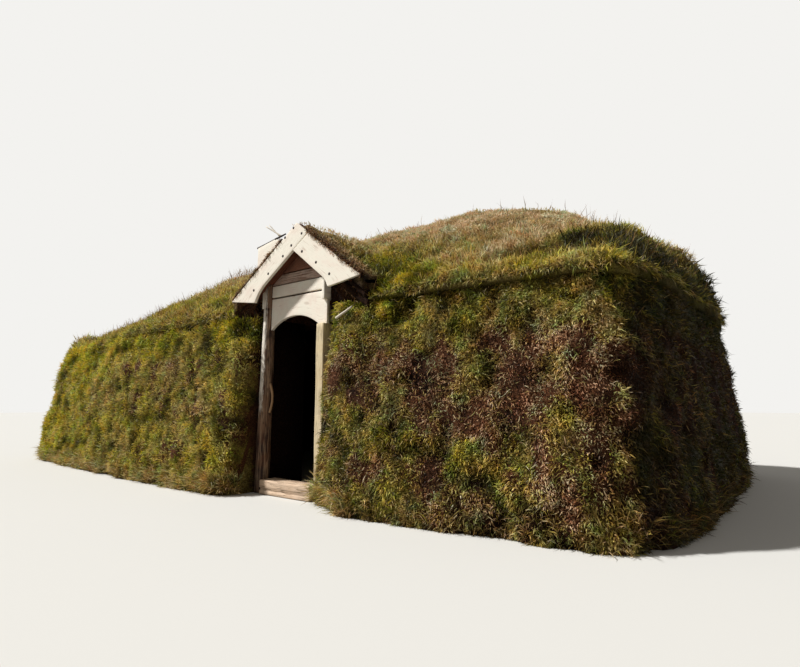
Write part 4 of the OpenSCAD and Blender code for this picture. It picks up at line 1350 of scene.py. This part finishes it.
class TURFHOUSE_OT_grass(HouseOperator, Operator):
    """Grass on the walls, the roof and the porch, hanging at the eave and dry at the foot"""

    bl_idname = "turfhouse.grass"
    bl_label = "Grass"

    def execute(self, context):
        rng = np.random.default_rng(7)
        _, wall = wall_skin()
        _, _, roof = roof_skin()
        roof = np.concatenate([roof, roof[:1]])
        self.walls(wall, rng)
        self.roof(roof, rng)
        self.strands(wall, rng)
        self.stems(roof, rng)
        self.eave(roof, rng)
        self.foot(wall, rng)
        self.porch(rng)
        return {"FINISHED"}

    def walls(self, wall, rng):
        """Grass on the walls, thicker to the right of the front and twice as thick round the right end."""
        k = looks()
        wide = k.blade_width
        middle = sum(doorway()) / 2

        def right(at):
            thicker = 1.0 + 0.5 * ramp_up(at[..., 0], 1.5, 4.5)
            return (in_front(at) & (at[..., 0] > middle)) * thicker

        def left(at):
            return in_front(at) & (at[..., 0] < middle)

        def behind(at):
            return ~in_front(at) * (1.0 + 1.0 * (at[..., 0] > 3))

        grow("grass_wall_right", wall, k.wall_front_right_blades, k.wall_blade, wide, right, rng,
             (0.55, 0.15), 0.9, spread=1.0)
        grow("grass_wall_left", wall, k.wall_front_left_blades, k.wall_blade * 1.1, wide * 1.1, left, rng,
             (0.7, 0.55), 0.5)
        grow("grass_wall_round", wall, k.wall_round_blades, k.wall_blade * 1.3, wide * 1.45, behind, rng,
             (0.7, 0.4), 0.8)

    def roof(self, roof, rng):
        """Grass on the roof, thicker low on the front slope and to its right."""
        k = looks()
        wide = k.blade_width

        def front(at):
            low_down = 1.4 - 0.5 * ramp_up(at[..., 2], 2.3, 3.0)
            return (at[..., 1] < 0) * (1 + 0.4 * ramp_up(at[..., 0], 0, 3)) * low_down

        def back(at):
            return 1.0 * (at[..., 1] >= 0)

        grow("grass_roof_front", roof, k.roof_front_blades, k.roof_blade, wide * 1.15, front, rng,
             (0.5, 0.75), 0.4)
        grow("grass_roof_round", roof, k.roof_round_blades, k.roof_blade * 1.15, wide * 1.5, back, rng,
             (0.5, 0.7), 0.4)

    def strands(self, wall, rng):
        """Pale curled strands on the front walls, most of them right of the doorway."""
        k = looks()
        amount = k.strand_blades

        def chance(at):
            return in_front(at) * (0.35 + 1.0 * (at[..., 0] > 1.6)) * (0.5 + noise(at, 0.3, 85)).clip(0.05)

        place, normal = scatter(wall, amount, chance, rng)
        rise = normal * 0.7 + 0.8 * rng.normal(size=(amount, 3))
        droop = -0.7 * UP + 1.0 * rng.normal(size=(amount, 3))
        length = k.wall_blade * (0.6 + 0.8 * rng.random(amount))
        kind = 0.22 + 0.4 * rng.random(amount)
        # The strands are painted darker where the turf is painted shaded.
        tone = 0.74 + 0.18 * rng.normal(size=amount) + 0.9 * np.minimum(painted_sun_and_shade(place), 0)
        width = k.blade_width * (0.6 + 0.4 * rng.random(amount))
        blades("grass_strands", place, normal, rise, droop, length, width, kind, tone, rng,
               steps=3)

    def stems(self, roof, rng):
        """Dead seed stems that stand over the roof, most of them left of the porch and below the crown."""
        k = looks()
        amount = k.stem_blades

        def chance(at):
            patches = 0.3 + (0.2 + noise(at, 0.45, 86)).clip(0)
            below_crown = 1 - 0.7 * ramp_up(at[..., 2], 3.1, 3.4)
            return patches * (0.3 + ramp_up(-at[..., 0], -1.2, 0.5)) * below_crown

        place, normal = scatter(roof, amount, chance, rng)
        rise = normal * 0.25 + UP + 0.28 * rng.normal(size=(amount, 3))
        droop = 0.35 * rng.normal(size=(amount, 3))
        length = 2.1 * k.roof_blade * (0.5 + 0.55 * rng.random(amount))
        kind = 0.62 + 0.3 * rng.random(amount)
        width = k.blade_width * (0.6 + 0.3 * rng.random(amount))
        tone = 0.3 + 0.2 * rng.random(amount)
        blades("grass_stems", place, normal, rise, droop, length, width, kind, tone, rng)

    def eave(self, roof, rng):
        """Grass that hangs over the eave, thickest right of the porch."""
        k = looks()
        amount = k.eave_blades

        def chance(at):
            return 0.7 + 2.2 * (at[..., 1] < -1.5) * ramp_up(at[..., 0], 1.8, 2.6)

        place, normal = scatter(roof[:, :5], amount, chance, rng)
        rise = unit(normal * [1, 1, 0.2]) + 0.3 * UP + 0.4 * rng.normal(size=(amount, 3))
        droop = -1.8 * UP + 0.5 * rng.normal(size=(amount, 3))
        length = k.eave_blade * (0.4 + 0.6 * rng.random(amount)) * (1 + 0.45 * noise(place, 0.25, 81))
        width = k.blade_width * (0.8 + 0.5 * rng.random(amount))
        kind = np.clip(0.12 + 0.22 * rng.random(amount) + 0.1 * rng.normal(size=amount), 0, 1)
        tone = 0.42 + 0.28 * rng.normal(size=amount)
        blades("grass_eave", place, normal, rise, droop, length, width, kind, tone, rng,
               steps=3)

    def foot(self, wall, rng):
        """Dry grass at the foot of the walls, in tufts to both sides of the doorway."""
        k = looks()
        amount = k.foot_blades
        left, right = doorway()

        def chance(at):
            beside = bell(at[..., 0], left - 0.25, 0.35) + bell(at[..., 0], right + 0.3, 0.3)
            return 0.35 + (at[..., 1] < -1.5) * (1.1 * (0.3 + noise(at, 0.35, 83)).clip(0) + 5.0 * beside)

        place, normal = scatter(wall[:, :5], amount, chance, rng)
        rise = normal * 0.5 + 0.9 * UP + 0.4 * rng.normal(size=(amount, 3))
        droop = normal * 0.5 - 0.7 * UP + 0.4 * rng.normal(size=(amount, 3))
        length = k.foot_blade * (0.4 + 0.7 * rng.random(amount)) * (1 + 0.4 * noise(place, 0.25, 84))
        width = k.blade_width * (0.7 + 0.5 * rng.random(amount))
        tufts = bell(place[:, 0], right + 0.25, 0.4) + 0.8 * ramp_up(-place[:, 0], -1.0, -0.7)
        kind = 0.38 - 0.08 * tufts + 0.12 * rng.normal(size=amount)
        # Blades at the foot are painted darker where the turf is painted shaded.
        tone = 0.52 + 0.22 * tufts + 0.22 * rng.normal(size=amount) + 0.8 * np.minimum(painted_sun_and_shade(place), 0)
        blades("grass_foot", place, normal, rise, droop, length, width, kind, tone, rng,
               steps=3)

    def porch(self, rng):
        """Grass and root ends on the porch, shorter along its cut front edge."""
        k = looks()
        left, right = porch_sides()
        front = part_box("porch_turf_right")[0][1]
        x, y = np.meshgrid(np.linspace(left, right, 60), np.linspace(front, PORCH_BACK, 50),
                           indexing="ij")
        grid = joined(x, y, porch_top(x, y) - 0.02)
        amount = k.porch_blades

        def chance(at):
            return 0.7 + ramp_up(at[..., 1], -2.6, -2.0) + 0.8 * (at[..., 0] > 2.3)

        place, normal = scatter(grid, amount, chance, rng)
        normal = np.where(normal[:, 2:] < 0, -normal, normal)
        front_share = 1 - ramp_up(place[:, 1], -2.75, -2.4)
        rise = normal * 0.5 + np.array([0, -0.1, 0.5]) + 0.5 * rng.normal(size=(amount, 3))
        droop = np.array([0, -0.2, -0.6]) + 0.5 * rng.normal(size=(amount, 3))
        length = k.roof_blade * (0.4 + 0.5 * rng.random(amount)) * (1 - 0.45 * front_share)
        width = k.blade_width * (0.7 + 0.6 * rng.random(amount))
        kind, tone = kinds(place, rng)
        kind = np.clip(kind + (0.62 - kind) * front_share, 0, 1)
        tone = tone * (1 - 0.15 * front_share)
        blades("grass_porch", place, normal, rise, droop, length, width, kind, tone, rng)


def bend(a, b, c, amount=9):
    """A parabola that leaves a towards b and arrives at c."""
    t = np.linspace(0, 1, amount)[:, None]
    return (1 - t) ** 2 * np.array(a) + 2 * t * (1 - t) * np.array(b) + t * t * np.array(c)


class TURFHOUSE_OT_bargeboards(HouseOperator, Operator):
    """The two bargeboards with their flared feet and the turf board behind them"""

    bl_idname = "turfhouse.bargeboards"
    bl_label = "Bargeboards"

    WIDE = {-1: 0.22, 1: 0.273}    # width of the left and the right board
    FLARE = {-1: 0.177, 1: 0.086}  # run over which each lower edge turns out to its foot
    FOOT, FOOT_DROP = 0.445, 0.06  # length of the level foot and its fall
    CUT = 0.009                    # gap where the right board butts against the left one
    PANEL_TOP, PANEL_RISE, PANEL_CORNER = 2.80, 0.055, 0.78

    def execute(self, context):
        f = form()
        drop = {-1: self.WIDE[-1] * math.hypot(1, f.rise_left), 1: self.WIDE[1] * math.hypot(1, f.rise_right)}

        def on_line(x, under=0.0):
            return x, float(porch_height(x)) - under

        both = f.rise_left + f.rise_right
        inner = on_line(f.ridge_x - (drop[1] - drop[-1]) / both, drop[-1])
        crossing = on_line(f.ridge_x + drop[-1] / both)
        for name, side in (("bargeboard_left", -1), ("bargeboard_right", 1)):
            low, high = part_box(name)
            tip = on_line(low[0] if side < 0 else high[0])
            heel = (tip[0] - side * self.FOOT, tip[1] - self.FOOT_DROP)
            start = on_line(heel[0] - side * self.FLARE[side], drop[side])
            knee = on_line(heel[0] - side * self.FLARE[side] * 0.3, drop[side])
            curve = bend(start, knee, heel)
            if side < 0:
                lower, upper = [crossing, *curve], [(f.ridge_x, f.peak), tip]
            else:
                lower = [(inner[0] + self.CUT, inner[1]), *curve]
                upper = [(crossing[0] + self.CUT, crossing[1] - self.CUT), tip]
            put_board(name, "board", "pale_board", rail(lower, 46), rail(upper, 46), low[1], high[1], 0.004,
                      3.7 * side, 0.0018, 2 + side)
        low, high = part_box("turf_board")
        x = np.linspace(low[0], high[0], 12)
        corner = low[0] + self.PANEL_CORNER * (high[0] - low[0])
        top = np.interp(x, [low[0], corner, high[0]], [self.PANEL_TOP, self.PANEL_TOP + self.PANEL_RISE,
                                                       float(porch_height(high[0])) + 0.02])
        bottom = soffit_height(x) + BOARD_T + FIT
        put_board("turf_board", "board", "pale_board", joined(x, bottom), joined(x, top), low[1], high[1],
                  start=9.1, wobble=0.002, seed=5)
        return {"FINISHED"}


class TURFHOUSE_OT_gable(HouseOperator, Operator):
    """The arch board and the planks over it, and the plates on edge beside them"""

    bl_idname = "turfhouse.gable"
    bl_label = "Gable boards"

    SPRING, ARCH_TOP, ARCH_RISE = 1.84, 2.2, 0.135
    # Each plank: node, material, lower and upper height, gap under it and how far it stands proud.
    PLANKS = (("gable_plank_low", "board", 2.2003, 2.354, 0.022, 0.002),
              ("gable_plank_mid", "plank", 2.3543, 2.478, 0.012, 0.0),
              # The top plank's darker reddish tones are partly painted shade under the peak.
              ("gable_plank_top", "stained", 2.4783, 2.79, 0.012, 0.0))

    def execute(self, context):
        f = form()
        low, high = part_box("arch_board")
        left, right = low[0], high[0]
        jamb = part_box("door_jamb_right")[0][0]
        plate, plate_foot = (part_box("side_plate_right")[0][i] for i in (0, 2))
        door_mid = (left + jamb) / 2
        half = (jamb - left) / 2 - 0.01
        radius = (half * half + self.ARCH_RISE * self.ARCH_RISE) / (2 * self.ARCH_RISE)
        # Places along the arch board, with two side by side where it steps under the right plate.
        x = np.unique(np.concatenate([np.linspace(left, right, 60),
                                      door_mid + half * np.cos(np.linspace(0, math.pi, 40))]))
        x = np.sort(np.concatenate([x[x < plate - 0.002], [plate - 0.0012, plate - 0.001], x[x > plate]]))
        bow = np.sqrt(np.maximum(radius ** 2 - (x - door_mid) ** 2, 0))
        arch = self.SPRING + self.ARCH_RISE - radius + bow
        under = np.where(np.abs(x - door_mid) < half, arch, self.SPRING)
        over = np.where(x < plate - 0.0011, self.ARCH_TOP, plate_foot - FIT)
        put_board("arch_board", "board", "pale_board", joined(x, under), joined(x, over), low[1], high[1],
                  start=1.3, wobble=0.0012, seed=8)
        # Planks end some millimetres short of each other, so a dark seam shows.
        for i, (name, key, bottom, ceiling, gap, proud) in enumerate(self.PLANKS):
            from_x = max(left, f.ridge_x - (f.peak - SOFFIT_DROP - bottom - 0.004) / f.rise_left)
            x = np.linspace(from_x, plate - FIT, 40)
            under = bottom + gap
            over = np.maximum(np.minimum(ceiling, soffit_height(x) - FIT) - 0.002, under + 0.002)
            low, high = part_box(name)
            put_board(name, key, "grey_wood", joined(x, under), joined(x, over), low[1] - proud, high[1],
                      start=2.1 + 1.7 * i, wobble=0.0016, seed=11 + i)
        for name in ("side_plate_left", "side_plate_right"):
            low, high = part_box(name)
            x = np.linspace(low[0], high[0], 4)
            put_board(name, "board", "pale_board", joined(x, low[2]), joined(x, soffit_height(x) - FIT),
                      low[1], high[1], start=4.4)
        return {"FINISHED"}


class TURFHOUSE_OT_posts(HouseOperator, Operator):
    """The round post, the squared jamb and the threshold log"""

    bl_idname = "turfhouse.posts"
    bl_label = "Posts and threshold"

    LEAN, UPRIGHT_AT, HEAD = 0.056, 0.42, 2.3  # the post's lean, the share where it stands true, its height

    def lean(self, z):
        """How far the post leans to the right at a height."""
        return self.LEAN * (z / self.HEAD - self.UPRIGHT_AT)

    def execute(self, context):
        low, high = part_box("door_post_left")
        radius = (high[1] - low[1]) / 2
        centre = np.array([low[0] + radius, (low[1] + high[1]) / 2])
        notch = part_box("side_plate_left")[0][2] - FIT
        angle = round_angles(44)
        ring = joined(np.cos(angle), np.sin(angle))
        heights = np.concatenate([np.linspace(0, notch, 64), [notch], np.linspace(notch + 0.001, 3.0, 12)])
        rings = []
        for i, z in enumerate(heights):
            at = joined(ring[:, 0] * 0.12, ring[:, 1] * 0.12, z)
            # Thick at the foot, thinner at the top, with knobs, and checks along the grain.
            thick = 1.05 - 0.20 * min(z / self.HEAD, 1.0)
            swell = thick + 0.035 * noise(at, 0.14, 21) + 0.03 * noise(at * [1, 1, 0.12], 0.022, 22)
            xy = centre + [self.lean(z), 0] + ring * radius * swell[:, None]
            if i >= 64:
                xy[:, 0] = np.maximum(xy[:, 0], centre[0] + FIT)
            rings.append(joined(xy[:, 0], xy[:, 1], np.minimum(z, soffit_height(xy[:, 0]) - FIT)))
        points, faces, uv = loft(np.stack(rings), 6.0)
        # The weather side, to the front and left, carries sun-pale flakes from knee height up, painted as
        # painted sunlight; the rest stays dark.
        x, y, z = points.T
        outer = -0.61 * (x - centre[0] - self.lean(z)) - 0.79 * (y - centre[1])
        field = (0.30 + 0.42 * ramp_up(outer / radius, 0.0, 0.7) * ramp_up(z, 0.5, 1.2))[:, None]
        put("door_post_left", points, faces, material("log"), ["door_post_left"], uv=uv,
            field=field)

        low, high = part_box("door_jamb_right")
        z = np.linspace(low[2], high[2], 40)
        hewn = low[0] + 0.003 + 0.0025 * np.sin(z * 7.0)
        put_board("door_jamb_right", "jamb", "pale_board", joined(hewn, z), joined(high[0], z), low[1],
                  high[1], 0.006, 5.2, 0.001, 31)

        low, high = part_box("threshold_log")
        x = np.linspace(low[0], high[0], 50)
        # Feet have worn the middle of the top down.
        top = high[2] - 0.006 * ramp_up(np.sin((x - low[0]) / (high[0] - low[0]) * math.pi), 0.3, 1.0)
        points, faces, uv = board(joined(x, low[2]), joined(x, top), low[1], high[1], 0.012, 7.7, 0.002, 41,
                                  groove=(0.38, 0.02, 0.06))
        points[:, 2] = np.maximum(points[:, 2], 0)
        put("threshold_log", points, faces, material("sill"), ["threshold_log"], uv=uv)
        return {"FINISHED"}


class TURFHOUSE_OT_soffit(HouseOperator, Operator):
    """Boards under the porch's turf, side by side down each slope, and the ridge pole under them"""

    bl_idname = "turfhouse.soffit"
    bl_label = "Porch roof boards"

    # Each slope: how far its boards stop short of the turf's left and right edge, where the turf hangs down
    # behind the bargeboards' feet.
    SLOPES = (("porch_roof_board_left", 0.22, 0), ("porch_roof_board_right", 0, 0.21))
    BOARDS, SEAM = 10, 0.003

    def execute(self, context):
        for name, short_left, short_right in self.SLOPES:
            low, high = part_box(name)
            edges = np.linspace(low[1], high[1], self.BOARDS + 1)
            x = np.linspace(low[0] + short_left, high[0] - short_right, 16)
            lower, upper = joined(x, soffit_height(x)), joined(x, soffit_height(x) + BOARD_T)
            parts = [board(lower, upper, edges[i], edges[i + 1] - self.SEAM, start=1.9 * i)
                     for i in range(self.BOARDS)]
            points, faces, uv = merged(parts)
            put(name, points, faces, material("soffit"), [name], uv=uv)
        low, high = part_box("porch_ridge_pole")
        radius = (high[0] - low[0]) / 2
        x, z = (low[0] + high[0]) / 2, (low[2] + high[2]) / 2
        points, faces, uv = log_between((x, low[1], z), (x, high[1], z), radius * 0.985, 3, knobbly=0.015)
        put("porch_ridge_pole", points, faces, material("log"), ["porch_ridge_pole"], uv=uv)
        return {"FINISHED"}


class TURFHOUSE_OT_fittings(HouseOperator, Operator):
    """Nails of the bargeboards, the grip on the post and the sticks in the porch's turf"""

    bl_idname = "turfhouse.fittings"
    bl_label = "Nails, grip and sticks"

    NAILS = [(1.775, 2.902), (1.909, 2.814), (1.637, 2.819), (1.745, 2.710), (1.608, 2.613), (1.362, 2.451),
             (1.107, 2.293), (1.920, 2.612), (2.143, 2.455), (2.343, 2.302)]
    NAIL_RADIUS, NAIL_HIGH, NAIL_SUNK = 0.017, 0.006, 0.0015
    GRIP_TUBE = 0.0125
    # Sticks in the turf: both ends and the radius
    STICKS = (((1.53, -2.775, 2.865), (1.26, -2.79, 3.03), 0.009),
              ((1.49, -2.775, 2.87), (1.31, -2.785, 3.04), 0.007),
              ((2.43, -2.80, 1.84), (2.66, -2.815, 1.93), 0.013))

    def execute(self, context):
        self.nails()
        self.grip()
        parts = [log_between(a, b, r, 50 + i, sides=10, rings=8, knobbly=0.12, taper=0.35)
                 for i, (a, b, r) in enumerate(self.STICKS)]
        self.put_sticks("turf_sticks", "stick", parts)
        # Two rails lie along the turf board's top, placed from its left or right end, front and top.
        low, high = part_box("turf_board")
        left, right, y, z = low[0], high[0], low[1], TURFHOUSE_OT_bargeboards.PANEL_TOP
        rails = (((left - 0.02, y + 0.01, z + 0.004), (left + 0.37, y + 0.012, z + 0.066), 0.013, 14),
                 ((left + 0.30, y + 0.008, z + 0.052), (right + 0.06, y + 0.006, z + 0.08), 0.012, 12))
        parts = [log_between(a, b, r, 61 + i, sides=10, rings=rings, knobbly=0.15, taper=0.3)
                 for i, (a, b, r, rings) in enumerate(rails)]
        self.put_sticks("turf_rails", "bark", parts)
        return {"FINISHED"}

    def put_sticks(self, name, key, parts):
        points, faces, uv = merged(parts)
        put(name, points, faces, material(key), uv=uv)

    def nails(self):
        """Domed heads, each a stack of shrinking circles before the bargeboards' face."""
        low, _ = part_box("bargeboard_left")
        t = np.linspace(0, 1, 5)[:, None]
        angle = round_angles(10)
        radius = self.NAIL_RADIUS * np.cos(t * math.pi / 2 * 0.92)
        y = low[1] + self.NAIL_SUNK - self.NAIL_HIGH * np.sin(t * math.pi / 2)
        parts = [loft(joined(x + radius * np.cos(angle), y, z + radius * np.sin(angle)))
                 for x, z in self.NAILS]
        points, faces, _ = merged(parts)
        put("bargeboard_nails", points, faces, material("iron"))

    def grip(self):
        """A bow: a tube along a parabola that stands out from the post, each circle square to it."""
        low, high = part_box("door_grip")
        half = (high[2] - low[2]) / 2
        reach = high[0] - low[0] - 0.013
        middle = (high[2] + low[2]) / 2
        t = np.linspace(-1, 1, 30)[:, None]
        angle = round_angles(14)
        tube = self.GRIP_TUBE * (1 + 0.25 * np.abs(t))
        bow = low[0] - 0.006 + reach * (1 - t ** 2)
        slope = -2 * t * reach / half
        tilt = 1 / np.sqrt(1 + slope ** 2)
        x = bow + tube * np.cos(angle) * tilt
        z = middle + t * half * 0.99 - tube * np.cos(angle) * slope * tilt
        y = (low[1] + high[1]) / 2 + tube * np.sin(angle)
        points, faces, uv = loft(joined(x, y, z), 2.0)
        points[:, 0] = np.maximum(points[:, 0], low[0])
        put("door_grip", points, faces, material("grip"), ["door_grip"], uv=uv)


class TURFHOUSE_OT_frame(HouseOperator, Operator):
    """Wood of the room's frame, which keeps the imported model's solids"""

    bl_idname = "turfhouse.frame"
    bl_label = "Room frame"

    def execute(self, context):
        for node, axis in FRAME_TIMBER.items():
            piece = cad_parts[node]
            piece.data.materials.clear()
            piece.data.materials.append(material("timber" + axis))
        return {"FINISHED"}


OPERATORS = (TURFHOUSE_OT_stage, TURFHOUSE_OT_walls, TURFHOUSE_OT_roof, TURFHOUSE_OT_porch_turf,
             TURFHOUSE_OT_fringe, TURFHOUSE_OT_grass, TURFHOUSE_OT_bargeboards, TURFHOUSE_OT_gable,
             TURFHOUSE_OT_posts, TURFHOUSE_OT_soffit, TURFHOUSE_OT_fittings, TURFHOUSE_OT_frame)


class TURFHOUSE_PT_panel(Panel):
    """Buttons and sizes of the turf house"""

    bl_label = "Turf house"
    bl_idname = "TURFHOUSE_PT_panel"
    bl_space_type = "VIEW_3D"
    bl_region_type = "UI"
    bl_category = "Turf house"

    def draw(self, context):
        for operator in OPERATORS:
            self.layout.operator(operator.bl_idname)
        for group in (form(), looks(), tones()):
            box = self.layout.box()
            for key in group.bl_rna.properties.keys():
                if key not in ("rna_type", "name"):
                    box.prop(group, key)


CLASSES = (TurfHouseForm, TurfHouseLooks, TurfHouseColours, *OPERATORS, TURFHOUSE_PT_panel)


def register():
    for each in CLASSES:
        bpy.utils.register_class(each)
    bpy.types.Scene.turf_house_form = PointerProperty(type=TurfHouseForm)
    bpy.types.Scene.turf_house_looks = PointerProperty(type=TurfHouseLooks)
    bpy.types.Scene.turf_house_colours = PointerProperty(type=TurfHouseColours)


def unregister():
    del bpy.types.Scene.turf_house_form, bpy.types.Scene.turf_house_looks, bpy.types.Scene.turf_house_colours
    for each in reversed(CLASSES):
        bpy.utils.unregister_class(each)


def main():
    register()
    for operator in OPERATORS:
        group, name = operator.bl_idname.split(".")
        getattr(getattr(bpy.ops, group), name)()


if __name__ == "__main__":
    main()
